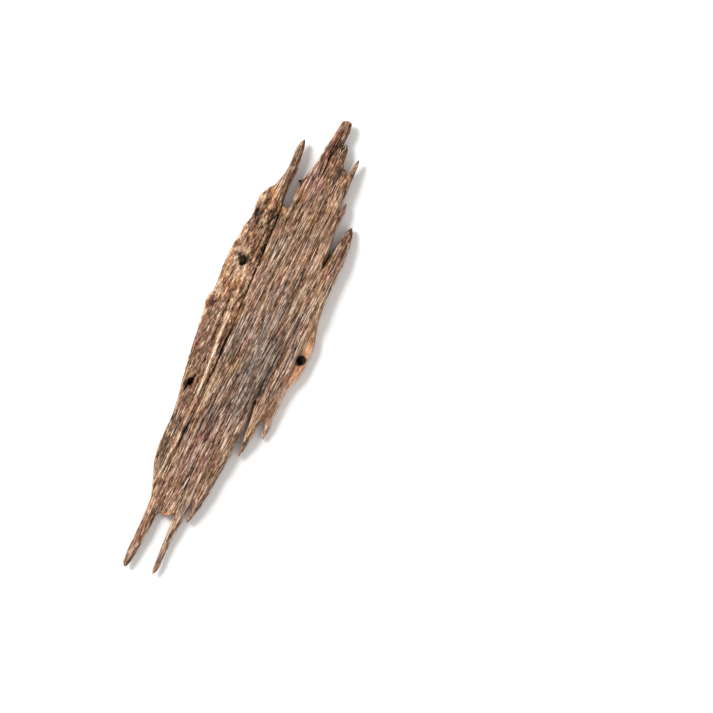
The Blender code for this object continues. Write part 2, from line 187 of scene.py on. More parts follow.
def pick(obj: bpy.types.Object) -> None:
    """Makes the object the only selected one and the active one.

    Args:
        obj: any object of the scene.
    """
    bpy.ops.object.select_all(action="DESELECT")
    obj.select_set(True)
    bpy.context.view_layer.objects.active = obj


def apply_modifier(obj: bpy.types.Object, kind: str, **settings: object) -> None:
    """Adds one modifier to the object and applies it.

    Args:
        obj: a mesh object.
        kind: the modifier's type.
        settings: the modifier's own values.
    """
    pick(obj)
    modifier = obj.modifiers.new(kind.title(), kind)
    for key, value in settings.items():
        setattr(modifier, key, value)
    bpy.ops.object.modifier_apply(modifier=modifier.name)


def add_disc(**settings: object) -> bpy.types.Object:
    """Adds a filled circle with nothing else selected.

    Args:
        settings: the operator's own values.

    Returns:
        The new object, its place and turn applied to its points.
    """
    bpy.ops.object.select_all(action="DESELECT")
    bpy.ops.mesh.primitive_circle_add(fill_type="NGON", **settings)
    bpy.ops.object.transform_apply(location=True, rotation=True, scale=True)
    return bpy.context.object


def draw_out(moves: list[Triple], growths: list[float] | None = None, merge: float = 0.0) -> None:
    """Extrudes the active object's flat mesh from station to station to a closed body.

    Args:
        moves: the way from each station to the next.
        growths: how much wider the mesh is at the end of each move, where it changes.
        merge: the distance under which points become one, or 0 to keep them all.
    """
    bpy.ops.object.mode_set(mode="EDIT")
    bpy.ops.mesh.select_all(action="SELECT")
    for index, move in enumerate(moves):
        bpy.ops.mesh.extrude_region_move(TRANSFORM_OT_translate={"value": move})
        if growths:
            bpy.ops.transform.resize(value=(growths[index], 1, growths[index]))
    bpy.ops.mesh.select_all(action="SELECT")
    if merge:
        bpy.ops.mesh.remove_doubles(threshold=merge)
    bpy.ops.mesh.normals_make_consistent(inside=False)
    bpy.ops.object.mode_set(mode="OBJECT")


def dress(piece: bpy.types.Object, values: Values, finish: bpy.types.Material, shading: Shading) -> None:
    """Gives a finished mesh its values, its shading and its material.

    Args:
        piece: the finished object.
        values: an amount at each vertex for each name that the finish reads.
        finish: the wood's material.
        shading: which bends are shaded smooth.
    """
    for name, amounts in values.items():
        layer = piece.data.attributes.new(name, "FLOAT", "POINT")
        layer.data.foreach_set("value", np.clip(amounts, 0, 1).astype(np.float32))
    pick(piece)
    bpy.ops.object.shade_smooth_by_angle(angle=math.radians(shading.value))
    piece.data.materials.clear()
    piece.data.materials.append(finish)


def add_node(tree: Tree, kind: str, inputs: dict | None = None, **settings: object) -> bpy.types.Node:
    """Adds a shader node with its settings, its values and its links.

    Args:
        tree: the material's node tree.
        kind: the node's type, without the words that all of them start with.
        inputs: a value or a socket for each input, by name or by number.
        settings: the node's own properties.

    Returns:
        The new node.
    """
    node = tree.nodes.new(f"ShaderNode{kind}")
    for key, value in settings.items():
        setattr(node, key, value)
    for key, value in (inputs or {}).items():
        if isinstance(value, Socket):
            tree.links.new(value, node.inputs[key])
        else:
            node.inputs[key].default_value = value
    return node


@dataclass(frozen=True)
class Lumps:
    """Smooth unevenness: its height, its lumps' width and length in millimetres, and its layer of noise."""

    height: float
    across: float
    along: float
    layer: float

    def at(self, x: Array, y: Array) -> Array:
        """The unevenness at each point.

        Args:
            x: places across the grain.
            y: places along the grain.

        Returns:
            Values from minus the height to the height.
        """
        spots = zip((x / self.across).tolist(), (y / self.along).tolist())
        heights = (noise.noise(Vector((*spot, self.layer))) for spot in spots)
        return self.height * np.fromiter(heights, float, len(x))


@dataclass(frozen=True)
class Fade:
    """A share that eases from one value to another from a place along the grain, over a length either way."""

    before: float
    after: float
    start: float
    length: float

    def at(self, y: Array) -> Array:
        """The share at each place along the grain."""
        return self.before + (self.after - self.before) * smooth_step((y - self.start) / self.length)


@dataclass(frozen=True)
class GrainLine:
    """A long ridge or groove: its height, its half width and the points that it runs through."""

    height: float
    half_width: float
    points: tuple[Place, ...]


@dataclass(frozen=True)
class Zone:
    """A soft patch of the face, in millimetres, with the depth of a pit or the share that a finish takes."""

    across: float
    along: float
    half_width: float
    half_length: float
    strength: float = 1.0

    def off(self, x: Array, y: Array) -> Array:
        """How far each point lies from the patch's middle: 1 at its half width and at its half length."""
        return ((x - self.across) / self.half_width) ** 2 + ((y - self.along) / self.half_length) ** 2


@dataclass(frozen=True)
class Gallery:
    """A borer's tunnel: its radius, its stretch along the grain, its raggedness and its route."""

    radius: float
    stretch: float
    ragged: float
    route: tuple[Triple, ...]


def zones(*rows: tuple[float, ...]) -> tuple[Zone, ...]:
    """Reads each row as a zone: its middle, its half width, its half length and its strength."""
    return tuple(Zone(*row) for row in rows)


def grain_lines(*rows: tuple) -> tuple[GrainLine, ...]:
    """Reads each row as a line: its height, its half width and its points."""
    return tuple(GrainLine(row[0], row[1], row[2:]) for row in rows)


@dataclass
class Bundles:
    """Bundles of fibres side by side: each lies a little higher or lower and breaks off at its own places."""

    width: float
    length: float
    step: float
    crease: float
    wander: float
    seed: int
    # So many bundles, and so many stretches of each, lie at heights of their own before they repeat.
    rows: int = 256
    runs: int = 64
    length_range: Place = (0.6, 1.6)
    # A broken end slants across its bundle, and drops to the next stretch over a share of the length.
    slant: float = 0.22
    drop_share: float = 0.07
    crease_share: float = 0.16
    closed_crease: float = 0.2
    openness: float = 0.45

    def relief(self, x: Array, y: Array) -> Array:
        """The height of the bundles at each point.

        Args:
            x: places across the grain.
            y: places along the grain.

        Returns:
            Heights in millimetres, with a crease between neighbours and a torn step at each bundle's end.
        """
        rng = np.random.default_rng(self.seed)
        heights = rng.uniform(-1, 1, (self.rows, self.runs))
        shifts = rng.uniform(0, 1, self.rows)
        lengths = rng.uniform(*self.length_range, self.rows)
        layer = self.seed + 0.5
        sway = Lumps(self.wander, 14.0, 60.0, layer)
        waver = Lumps(0.35, 2.2 * self.width, 2.5 * self.length, layer + 1)
        fray = Lumps(0.05, 0.3, 1.4, layer + 2)
        opening = Lumps(1.5, 1.6 * self.width, 0.4 * self.length, layer + 3)
        place = (x + sway.at(x, y)) / self.width + waver.at(x, y)
        bundle = np.floor(place).astype(int)
        share = place - bundle
        row = bundle % self.rows
        slant = self.slant * np.abs(share - 0.5) + fray.at(x, y)
        run = y / (self.length * lengths[row]) + shifts[row] + slant
        piece = np.floor(run).astype(int)
        here, after = heights[row, piece % self.runs], heights[row, (piece + 1) % self.runs]
        level = here + (after - here) * smooth_step((run - piece - (1 - self.drop_share)) / self.drop_share)
        depth = self.closed_crease + (1 - self.closed_crease) * smooth_step(self.openness + opening.at(x, y))
        crease = np.exp(-(np.minimum(share, 1 - share) / self.crease_share) ** 2)
        return self.step * level - self.crease * crease * depth


@dataclass
class FaceForm:
    """The relief of the wood: the same forms as the solid's, and the finer ones that only the looks carry."""

    # Along the grain, as (place, value): the thickness, how far the ends lift off the surface, and how much
    # of its play each sliver's own height has there.
    thickness: tuple[Place, ...] = (
        (-88, 2.1), (-76, 2.6), (-64, 3.7), (-50, 5.2), (-30, 6.6), (0, 7.5), (25, 7.3), (45, 6.5),
        (60, 5.5), (75, 4.2), (89, 2.9),
    )
    end_lift: tuple[Place, ...] = ((-88, 1.5), (-66, 0.5), (-45, 0.0), (45, 0.0), (68, 0.5), (89, 1.7))
    sliver_ends: tuple[Place, ...] = ((-88, 1.0), (-60, 0.6), (-46, 0.0), (44, 0.0), (58, 0.6), (89, 1.0))
    sliver_play: float = 1.1
    sliver_slack: Lumps = Lumps(0.5, 2.4, 60.0, 4.6)
    # The slivers' points, where the wood thins out by a share of its thickness.
    tip_thinning: float = 0.55
    tips: tuple[Zone, ...] = zones(
        (-11.7, 77.5, 2.2, 7.0), (-0.8, 90.0, 3.2, 6.5), (2.7, 81.5, 1.1, 4.5), (5.6, 74.0, 1.8, 3.5),
        (8.6, 79.0, 1.5, 6.0), (11.5, 63.0, 0.9, 4.0), (17.2, 56.5, 2.6, 7.0), (-7.6, 61.6, 1.2, 1.2),
        (-1.6, -88.5, 2.2, 7.5), (8.5, -86.5, 1.6, 7.5), (11.1, -65.5, 1.4, 5.5), (17.1, -37.0, 1.6, 7.5),
        (22.0, -27.0, 1.5, 5.0), (4.0, -66.0, 3.0, 3.0),
    )
    crown: float = 0.9
    crown_half_width: float = 20.0
    crown_axis: float = 2.0
    swell: Lumps = Lumps(0.45, 9.0, 42.0, 1.3)
    ribs: tuple[Lumps, ...] = (Lumps(0.2, 1.7, 30.0, 2.2), Lumps(0.14, 0.9, 13.0, 7.7))
    edge_radius_top: float = 1.5
    edge_radius_back: float = 1.2
    edge_wall: float = 0.45
    edge_wander: Lumps = Lumps(0.45, 6.0, 11.0, 9.9)
    torn_end_share: float = 0.3
    # The walls' thin layers, each a little further out or in, which lean with the height.
    wall_layers: tuple[Lumps, ...] = (Lumps(1.0, 0.7, 9.0, 61.0), Lumps(0.6, 0.4, 2.5, 62.0))
    wall_play: float = 0.16
    wall_lean: float = 3.0
    wall_reach: float = 1.1
    # The flat board's top and bottom skins are this share of its thickness.
    skin: float = 0.06
    middle_share: float = 0.34
    least_upper: float = 0.5
    least_lower: float = 0.4
    fade_length: float = 7.0
    ledge_border: tuple[Place, ...] = (
        (19.2, -30), (19.5, -16), (20.0, -5), (19.9, 4), (20.2, 14), (20.4, 26),
    )
    ledge_drop: float = 1.5
    ledge_slope: float = 0.7
    ledge_calm: float = 0.35
    strip_border: tuple[Place, ...] = (
        (-3.0, -50), (-3.6, -26), (-4.1, -10), (-4.7, 3), (-5.5, 16), (-6.4, 28), (-7.1, 40), (-8.4, 52),
    )
    strip_slope: float = 0.8
    strip_drop: float = 0.45
    strip_lumps: Lumps = Lumps(0.9, 2.6, 4.6, 5.7)
    # The shares of the ribs and of the bundles that the crumbling took off the strip.
    strip_rib_loss: float = 0.5
    strip_bundle_loss: float = 0.62
    face_lines: tuple[GrainLine, ...] = grain_lines(
        (-0.9, 0.4, (-8.4, 52), (-7.1, 40), (-6.8, 34), (-6.4, 28), (-5.5, 16), (-4.7, 3), (-4.3, -6)),
        (-0.8, 0.5, (-4.7, 3), (-4.3, -6), (-4.0, -12), (-3.6, -26), (-3.2, -42), (-3.0, -50)),
        (0.9, 0.55, (-9.4, 26), (-8.2, 10), (-7.2, 0), (-5.4, -16), (-4.8, -26), (-4.4, -40), (-5.0, -52)),
        (-0.5, 0.9, (-8.5, 52), (-7.6, 45), (-7.1, 37), (-6.7, 29)),
        (-0.6, 0.4, (-9.9, 51), (-9.5, 44), (-9.3, 36), (-9.8, 27)),
        (-0.5, 0.4, (-10.6, 16), (-9.4, 4), (-8.6, -6), (-8.2, -16)),
        (-0.35, 0.4, (-0.6, 76), (-0.4, 60), (-0.1, 44), (-0.2, 22), (0.3, 4)),
        (0.2, 0.8, (2.2, 74), (2.4, 56), (2.0, 36), (2.6, 16), (2.0, -6)),
        (-0.45, 0.4, (4.9, 74), (4.8, 60), (5.2, 46), (5.0, 32), (5.5, 18)),
        (0.2, 0.8, (7.4, 66), (7.5, 48), (7.2, 28), (7.8, 6), (7.4, -18)),
        (-0.4, 0.4, (10.0, 57), (9.7, 48), (9.9, 38), (9.6, 24), (10.2, 8)),
        (-0.4, 0.5, (14.1, 43), (13.7, 34), (13.3, 25), (13.0, 14), (13.2, 2)),
        (0.25, 0.8, (16.6, 46), (16.9, 32), (17.3, 16), (17.0, 0), (17.2, -14)),
        (-0.8, 0.4, (13.9, -14), (13.6, -8), (13.4, 0)),
        (-0.3, 0.4, (1.2, -4), (1.0, -20), (1.4, -36), (0.6, -50), (0.2, -62)),
        (0.3, 0.8, (11.4, -12), (11.3, -30), (11.3, -44), (11.1, -62)),
        (-0.5, 0.4, (9.3, -30), (9.0, -42), (9.3, -50), (9.8, -58)),
        (0.3, 0.8, (6.8, -22), (7.3, -44), (7.9, -62), (8.3, -84)),
        (-0.4, 0.4, (4.6, -28), (5.2, -44), (5.8, -56), (6.2, -63)),
        (0.3, 0.9, (-1.6, -40), (-2.0, -54), (-1.7, -70), (-1.6, -86)),
        (0.5, 0.8, (-11.6, 74), (-11.2, 62), (-11.4, 50), (-12.4, 38)),
    )
    back_lines: tuple[GrainLine, ...] = grain_lines(
        (1.3, 1.5, (-10.5, 40), (-11, 20), (-10.4, 0), (-8.6, -20), (-6.4, -40)),
        (1.5, 1.8, (-1.0, 70), (0.4, 48), (1.0, 20), (0.2, -10), (1.2, -36)),
        (1.1, 1.3, (7.2, 56), (8.0, 34), (7.4, 10), (8.4, -16), (7.6, -44)),
        (1.3, 1.6, (14.2, 34), (15.2, 14), (14.4, -8), (16.2, -24)),
    )
    pits: tuple[Zone, ...] = zones(
        (-15.0, 45.2, 1.0, 1.6, 1.5), (-7.0, 34.4, 0.6, 1.4, 2.0), (-16.2, 10.9, 0.8, 1.0, 0.8),
        (-14.4, 8.8, 0.6, 0.9, 0.7), (18.5, 8.0, 0.7, 0.8, 0.6), (-14.4, 29.6, 1.3, 0.5, 0.7),
        (-10.2, -20.7, 0.45, 1.3, 1.8), (-9.0, -16.3, 0.4, 1.1, 1.6), (-12.9, 50.2, 1.3, 1.2, 0.8),
        (-12.6, -4.4, 1.0, 1.9, 0.7), (14.2, 39.6, 0.7, 1.9, 1.4),
    )
    # The split face is made of coarse bundles with finer ones on them.
    bundles: tuple[Bundles, ...] = (
        Bundles(width=1.7, length=13.0, step=0.11, crease=0.09, wander=1.6, seed=11),
        Bundles(width=0.85, length=4.2, step=0.12, crease=0.11, wander=1.2, seed=23),
    )
    crumbs: tuple[Lumps, ...] = (Lumps(0.34, 1.15, 2.0, 20.0), Lumps(0.16, 0.55, 0.95, 21.0))
    # The back: how rough it is, the level to which its flats are worn, and the fibres that are left off them.
    back_lumps: tuple[Lumps, ...] = (Lumps(0.9, 6.0, 30.0, 3.1), Lumps(0.4, 1.7, 14.0, 8.4))
    worn_level: float = 0.05
    back_fibre_share: float = 0.5
    back_fibre_level: float = 0.09
    back_fibre_shift: float = 40.0
    back_fibre_rise: float = 0.4

    def distance_to_edge(self, x: Array, y: Array) -> tuple[Array, Array]:
        """How far each point lies from the nearest edge of the face, in plan.

        Args:
            x: places across the grain.
            y: places along the grain.

        Returns:
            The distances, and how far that edge runs across the grain, from 0 to 1.
        """
        corners = np.array(OUTLINE, float)
        nearest, across = np.full(len(x), np.inf), np.zeros(len(x))
        for (ax, ay), (bx, by) in zip(corners, np.roll(corners, -1, axis=0)):
            dx, dy = bx - ax, by - ay
            share = np.clip(((x - ax) * dx + (y - ay) * dy) / (dx * dx + dy * dy), 0, 1)
            distance = np.hypot(x - ax - share * dx, y - ay - share * dy)
            across = np.where(distance < nearest, abs(dx) / math.hypot(dx, dy), across)
            nearest = np.minimum(nearest, distance)
        return nearest, across

    def _ends(self, y: Array, low: float, high: float) -> Array:
        """1 between two places along the grain, fading to 0 past them."""
        past, before = (y - low) / self.fade_length, (high - y) / self.fade_length
        return smooth_step(past + 0.5) * smooth_step(before + 0.5)

    def lines(self, lines: tuple[GrainLine, ...], x: Array, y: Array) -> Array:
        """The summed height of long ridges and grooves, each fading out at its two ends.

        Args:
            lines: the ridges and grooves.
            x: places across the grain.
            y: places along the grain.

        Returns:
            Heights, above 0 on ridges and below it in grooves.
        """
        total = np.zeros(len(x))
        for line in lines:
            across, start, end = course(line.points, y)
            off = (x - across) / line.half_width
            total += line.height * np.exp(-off * off) * self._ends(y, start, end)
        return total

    def strip(self, x: Array, y: Array) -> Array:
        """1 on the pale, crumbly strip left of its border and 0 off it."""
        across, start, end = course(self.strip_border, y)
        return smooth_step((across - x) / self.strip_slope + 0.5) * self._ends(y, start, end)

    def ledge(self, x: Array, y: Array) -> Array:
        """1 on the lower ledge right of its border and 0 off it."""
        across, start, end = course(self.ledge_border, y)
        return (1 - smooth_step((across - x) / self.ledge_slope + 0.5)) * self._ends(y, start, end)

    def rounding(self, distance: Array, radius: Array) -> Array:
        """Rises from the edge's own wall to 1 at the radius, along a quarter circle."""
        share = np.clip(distance / radius, 0, 1)
        return self.edge_wall + (1 - self.edge_wall) * np.sqrt(1 - (1 - share) ** 2)

    def lift(self, x: Array, y: Array) -> Array:
        """How high the middle of the wood rises at the ends, where each sliver has its own height."""
        play = self.sliver_play * np.interp(y, *zip(*self.sliver_ends)) * (0.5 + self.sliver_slack.at(x, y))
        return np.interp(y, *zip(*self.end_lift)) + play

    def middle(self, face: Array) -> Array:
        """The height between the wood's upper and lower half, from the face's height."""
        return self.middle_share * np.maximum(face, 1.0)

    def thickness_left(self, x: Array, y: Array) -> Array:
        """The share of the wood's thickness that is left, which drops towards the slivers' points."""
        return np.min([1 - self.tip_thinning * np.exp(-tip.off(x, y)) for tip in self.tips], axis=0)

    def fine(self, x: Array, y: Array, strip: Array) -> Array:
        """The bundles of fibres on the split face, and the crumbs on the strip."""
        split = sum(layer.relief(x, y) for layer in self.bundles) * (1 - self.strip_bundle_loss * strip)
        return split + sum(layer.at(x, y) for layer in self.crumbs) * strip

    def back_height(self, x: Array, y: Array) -> Array:
        """The back: flats worn level where the piece rests, with gouges and splits between them.

        Args:
            x: places across the grain.
            y: places along the grain.

        Returns:
            Heights in millimetres, 0 on the flats.
        """
        rough = self.lines(self.back_lines, x, y) + sum(layer.at(x, y) for layer in self.back_lumps)
        worn = np.maximum(0.0, rough - self.worn_level)
        fibres = self.bundles[1].relief(x + self.back_fibre_shift, y)
        fibres = np.maximum(self.back_fibre_share * fibres + self.back_fibre_level, 0.0)
        return worn + np.clip(worn / self.back_fibre_rise, 0, 1) * fibres

    def face_height(self, x: Array, y: Array) -> Array:
        """The upper face: crowned, ridged along the grain, with the pale strip and the red ledge lower.

        Args:
            x: places across the grain.
            y: places along the grain.

        Returns:
            Heights in millimetres.
        """
        strip, ledge = self.strip(x, y), self.ledge(x, y)
        crown = self.crown * ((x - self.crown_axis) / self.crown_half_width) ** 2
        ribs = sum(layer.at(x, y) for layer in self.ribs) * (1 - self.strip_rib_loss * strip)
        height = np.interp(y, *zip(*self.thickness)) - crown + self.swell.at(x, y) + ribs
        height += self.lines(self.face_lines, x, y)
        for pit in self.pits:
            height -= pit.strength * np.exp(-pit.off(x, y) ** 2)
        height += strip * (self.strip_lumps.at(x, y) - self.strip_drop) - self.ledge_drop * ledge
        return height + self.fine(x, y, strip) * (1 - self.ledge_calm * ledge)

    def shaped(self, points: Array, board: float) -> Array:
        """Moves the points of the flat board to the wood's true heights.

        Args:
            points: rows of x, y, z on the board, in millimetres.
            board: the board's thickness.

        Returns:
            The moved points.
        """
        x, y = points[:, 0], points[:, 1]
        level = (points[:, 2] / board + 0.5 - self.skin) / (1 - 2 * self.skin)
        edge, across_grain = self.distance_to_edge(x, y)
        back, face = self.back_height(x, y), self.face_height(x, y)
        middle, left = self.middle(face), self.thickness_left(x, y)
        wander = (1 + self.edge_wander.at(x, y)) * (1 - (1 - self.torn_end_share) * across_grain)
        above = self.rounding(edge, self.edge_radius_top * wander)
        below = self.rounding(edge, self.edge_radius_back * wander)
        upper = np.maximum(face - middle, self.least_upper) * above
        lower = np.maximum(middle - back, self.least_lower) * below
        top, bottom = middle + upper * left, middle - lower * left
        height = bottom + (top - bottom) * np.clip(level, 0, 1) + self.lift(x, y)
        layered = sum(layer.at(height + self.wall_lean * x, y) for layer in self.wall_layers)
        across = x + self.wall_play * layered * (1 - smooth_step(edge / self.wall_reach))
        return np.column_stack([across, y, height])


@dataclass(frozen=True)
class Streaks:
    """One layer of the wood's figure: its streaks' width and length in millimetres, noise and weight."""

    across: float
    along: float
    detail: float
    roughness: float
    weight: float

    def add_to(self, tree: Tree, origin: Socket, shift: Triple) -> Socket:
        """Adds the layer's noise to a material.

        Args:
            tree: the material's node tree.
            origin: places in millimetres.
            shift: how far the layer is moved, so that no two are alike.

        Returns:
            The noise, from 0 to 1.
        """
        scale = (1 / self.across, 1 / self.along, 1 / self.across)
        spot = add_node(tree, "Mapping", {"Vector": origin, "Scale": scale, "Location": shift}).outputs[0]
        return add_node(tree, "TexNoise", {
            "Vector": spot, "Scale": 1.0, "Detail": self.detail, "Roughness": self.roughness,
        }).outputs["Fac"]


@dataclass(frozen=True)
class AgarwoodFinish:
    """Resin-soaked agarwood split along its grain: dry and dull, streaked dark brown, grey and tan."""

    name: str = "agarwood_split_face"
    # From the resin-dark streaks and painted shade in grooves to the dry, bleached wood and painted
    # highlights on ridges.
    face_colours: tuple[tuple[float, str], ...] = (
        (0.0, "#221208"), (0.2, "#553927"), (0.4, "#81604a"),
        (0.6, "#ab856a"), (0.8, "#cfab8f"), (1.0, "#ecd3ba"),
    )
    # The strip without resin weathers to straw.
    strip_colours: tuple[tuple[float, str], ...] = (
        (0.0, "#28150a"), (0.2, "#5b3c26"), (0.4, "#8a684f"),
        (0.6, "#b58f72"), (0.8, "#d8b594"), (1.0, "#f4dec2"),
    )
    # Newly bared wood round the borer's hole is smoother and more orange.
    ledge_colours: tuple[tuple[float, str], ...] = (
        (0.0, "#382216"), (0.25, "#7d5a45"), (0.5, "#ae8265"), (0.75, "#d5a687"), (1.0, "#f6d0b0"),
    )
    # Dust and shadow make a borer's hole almost black.
    hole_colour: str = "#120c0a"
    # Streak sizes come from the wood's included phloem, whose strands are 0.4 to 1 mm wide.
    layers: tuple[Streaks, ...] = (
        Streaks(3.4, 26.0, 2.0, 0.5, 0.07),
        Streaks(1.2, 8.0, 2.0, 0.55, 0.14),
        Streaks(0.46, 3.6, 2.0, 0.6, 0.32),
        Streaks(0.32, 1.2, 1.0, 0.6, 0.22),
        Streaks(1.1, 1.7, 2.0, 0.6, 0.14),
        Streaks(2.2, 3.0, 2.0, 0.5, 0.11),
    )
    # Where the wood has rotted to crumbs, the figure is grains a millimetre across, longer along the grain.
    crumbs: tuple[Streaks, ...] = (Streaks(1.2, 3.0, 2.0, 0.6, 0.57), Streaks(0.5, 1.3, 1.0, 0.6, 0.43))
    # Some strands are redder and some greyer, one by one and in patches a few millimetres wide.
    strand_tint: Streaks = Streaks(0.9, 6.0, 2.0, 0.5, 1.0)
    patch_tint: Streaks = Streaks(3.2, 11.0, 2.0, 0.5, 1.15)
    # How far the strands and patches differ, and how far the rose and the ochre patches turn off the rest.
    richness_play: float = 0.13
    hue_play: float = 0.008
    rose_turn: float = -0.024
    ochre_turn: float = -0.003
    ochre_richness: float = 0.2
    grey_richness: float = 0.72
    grey_value: float = 0.74
    # Nearly all of a noise lies in this range, and each layer of a figure is shifted off the one before.
    noise_range: Place = (0.3, 0.7)
    layer_shift: float = 7.0
    # How far the grain sways from side to side, in millimetres, and how fine the noise is that sways it.
    sway: float = 3.0
    sway_scale: Triple = (0.11, 0.018, 0.11)
    shade_weight: float = 0.95
    contrast: float = 3.0
    middle_tone: float = 0.48
    resin_roughness: float = 0.56
    dry_roughness: float = 0.88
    gloss: float = 0.22
    bump_depth: float = 0.00018

    def _figure(self, tree: Tree, layers: tuple[Streaks, ...], origin: Socket) -> Socket:
        """Adds up the weighted layers of one figure.

        Args:
            tree: the material's node tree.
            layers: the figure's layers.
            origin: places in millimetres.

        Returns:
            The figure, from 0 to 1.
        """
        figure: Socket | float = 0.0
        for index, layer in enumerate(layers):
            wave = layer.add_to(tree, origin, (self.layer_shift * index, 0, 0))
            inputs = {0: wave, 1: layer.weight, 2: figure}
            figure = add_node(tree, "Math", inputs, operation="MULTIPLY_ADD").outputs[0]
        return figure

    def _coloured(self, tree: Tree, tone: Socket, shares: Shares) -> Socket:
        """Turns the tone into the colours of the face, the strip and the ledge.

        Args:
            tree: the material's node tree.
            tone: 0 in the resin's dark and 1 where the wood is bleached.
            shares: the piece's own values, by name.

        Returns:
            The colour.
        """
        ramps = []
        for colours in (self.face_colours, self.strip_colours, self.ledge_colours):
            ramp = add_node(tree, "ValToRGB", {"Fac": tone})
            while len(ramp.color_ramp.elements) < len(colours):
                ramp.color_ramp.elements.new(0.5)
            for element, (position, colour) in zip(ramp.color_ramp.elements, colours):
                element.position = position
                element.color = linear(colour)
            ramps.append(ramp.outputs["Color"])
        # Patches where the resin shows through the weathering are greyer.
        dull = add_node(tree, "HueSaturation", {
            "Color": ramps[0], "Saturation": self.grey_richness, "Value": self.grey_value,
        }).outputs[0]
        colour = ramps[0]
        for name, other in (("grey", dull), ("strip", ramps[1]), ("ledge", ramps[2])):
            inputs = {0: shares[name], 6: colour, 7: other}
            colour = add_node(tree, "Mix", inputs, data_type="RGBA").outputs[2]
        return colour

    def _tinted(self, tree: Tree, colour: Socket, grain: Socket, shares: Shares) -> Socket:
        """Makes some strands and patches redder, greyer or richer than others.

        Args:
            tree: the material's node tree.
            colour: the wood's colour so far.
            grain: places along the swaying grain, in millimetres.
            shares: the piece's own values, by name.

        Returns:
            The tinted colour.
        """
        for index, tint in enumerate((self.strand_tint, self.patch_tint)):
            spans = []
            for part, (middle, play) in enumerate(((1.0, self.richness_play), (0.5, self.hue_play))):
                wave = tint.add_to(tree, grain, (3.0 + 9.0 * index, 5.0 + 20.0 * part, 0))
                spans.append(add_node(tree, "MapRange", {
                    "Value": wave, "From Min": self.noise_range[0], "From Max": self.noise_range[1],
                    "To Min": middle - play * tint.weight, "To Max": middle + play * tint.weight,
                }).outputs[0])
            richness, hue = spans
            if tint is self.patch_tint:
                for name, turn in (("rose", self.rose_turn), ("ochre", self.ochre_turn)):
                    inputs = {0: shares[name], 1: turn, 2: hue}
                    hue = add_node(tree, "Math", inputs, operation="MULTIPLY_ADD").outputs[0]
                inputs = {0: shares["ochre"], 1: self.ochre_richness, 2: richness}
                richness = add_node(tree, "Math", inputs, operation="MULTIPLY_ADD").outputs[0]
            inputs = {"Color": colour, "Saturation": richness, "Hue": hue}
            colour = add_node(tree, "HueSaturation", inputs).outputs[0]
        return colour

    def build(self) -> bpy.types.Material:
        """Makes the material.

        Returns:
            A material that reads Object coordinates and the piece's own attributes.
        """
        material = bpy.data.materials.new(self.name)
        material.use_nodes = True
        tree = material.node_tree
        shader = tree.nodes["Principled BSDF"]
        shares = {name: add_node(tree, "Attribute", attribute_name=name).outputs["Fac"]
                  for name in ("strip", "ledge", "crumb", "grey", "rose", "ochre", "dark", "shade")}
        place = add_node(tree, "TexCoord").outputs["Object"]
        mm = add_node(tree, "VectorMath", {0: place, "Scale": 1 / MM}, operation="SCALE").outputs[0]
        # The grain wanders a little from side to side, so that no streak is ruled straight.
        lazy = add_node(tree, "Mapping", {"Vector": mm, "Scale": self.sway_scale}).outputs[0]
        waver = add_node(tree, "TexNoise", {"Vector": lazy, "Scale": 1.0, "Detail": 2.0}).outputs["Fac"]
        drift = add_node(tree, "Math", {0: waver, 1: self.sway}, operation="MULTIPLY").outputs[0]
        shift = add_node(tree, "CombineXYZ", {"X": drift}).outputs[0]
        grain = add_node(tree, "VectorMath", {0: mm, 1: shift}, operation="ADD").outputs[0]
        split, crumbs = self._figure(tree, self.layers, grain), self._figure(tree, self.crumbs, mm)
        inputs = {0: shares["crumb"], 2: split, 3: crumbs}
        fine = add_node(tree, "Mix", inputs, data_type="FLOAT").outputs[0]

        # The shade value paints shade into grooves and hollows and highlights onto ridges, and carries the
        # wood's own stains and each loose fibre's own shade.
        middle = self.middle_tone - 0.5 * (self.contrast + self.shade_weight)
        inputs = {0: fine, 1: self.contrast, 2: middle}
        figured = add_node(tree, "Math", inputs, operation="MULTIPLY_ADD").outputs[0]
        inputs = {0: shares["shade"], 1: self.shade_weight, 2: figured}
        tone = add_node(tree, "Math", inputs, operation="MULTIPLY_ADD", use_clamp=True).outputs[0]
        colour = self._tinted(tree, self._coloured(tree, tone, shares), grain, shares)
        inputs = {0: shares["dark"], 6: colour, 7: linear(self.hole_colour)}
        colour = add_node(tree, "Mix", inputs, data_type="RGBA").outputs[2]

        # Resin is a little glossier than the dry wood, and the figure can be felt with a nail.
        rough = add_node(tree, "MapRange", {
            "Value": tone, "To Min": self.resin_roughness, "To Max": self.dry_roughness,
        }).outputs[0]
        inputs = {"Height": fine, "Distance": self.bump_depth, "Strength": 1.0}
        bump = add_node(tree, "Bump", inputs).outputs[0]
        for name, socket in (("Base Color", colour), ("Roughness", rough), ("Normal", bump)):
            tree.links.new(socket, shader.inputs[name])
        for name, value in (("Metallic", 0.0), ("IOR", 1.5), ("Specular IOR Level", self.gloss)):
            shader.inputs[name].default_value = value
        return material


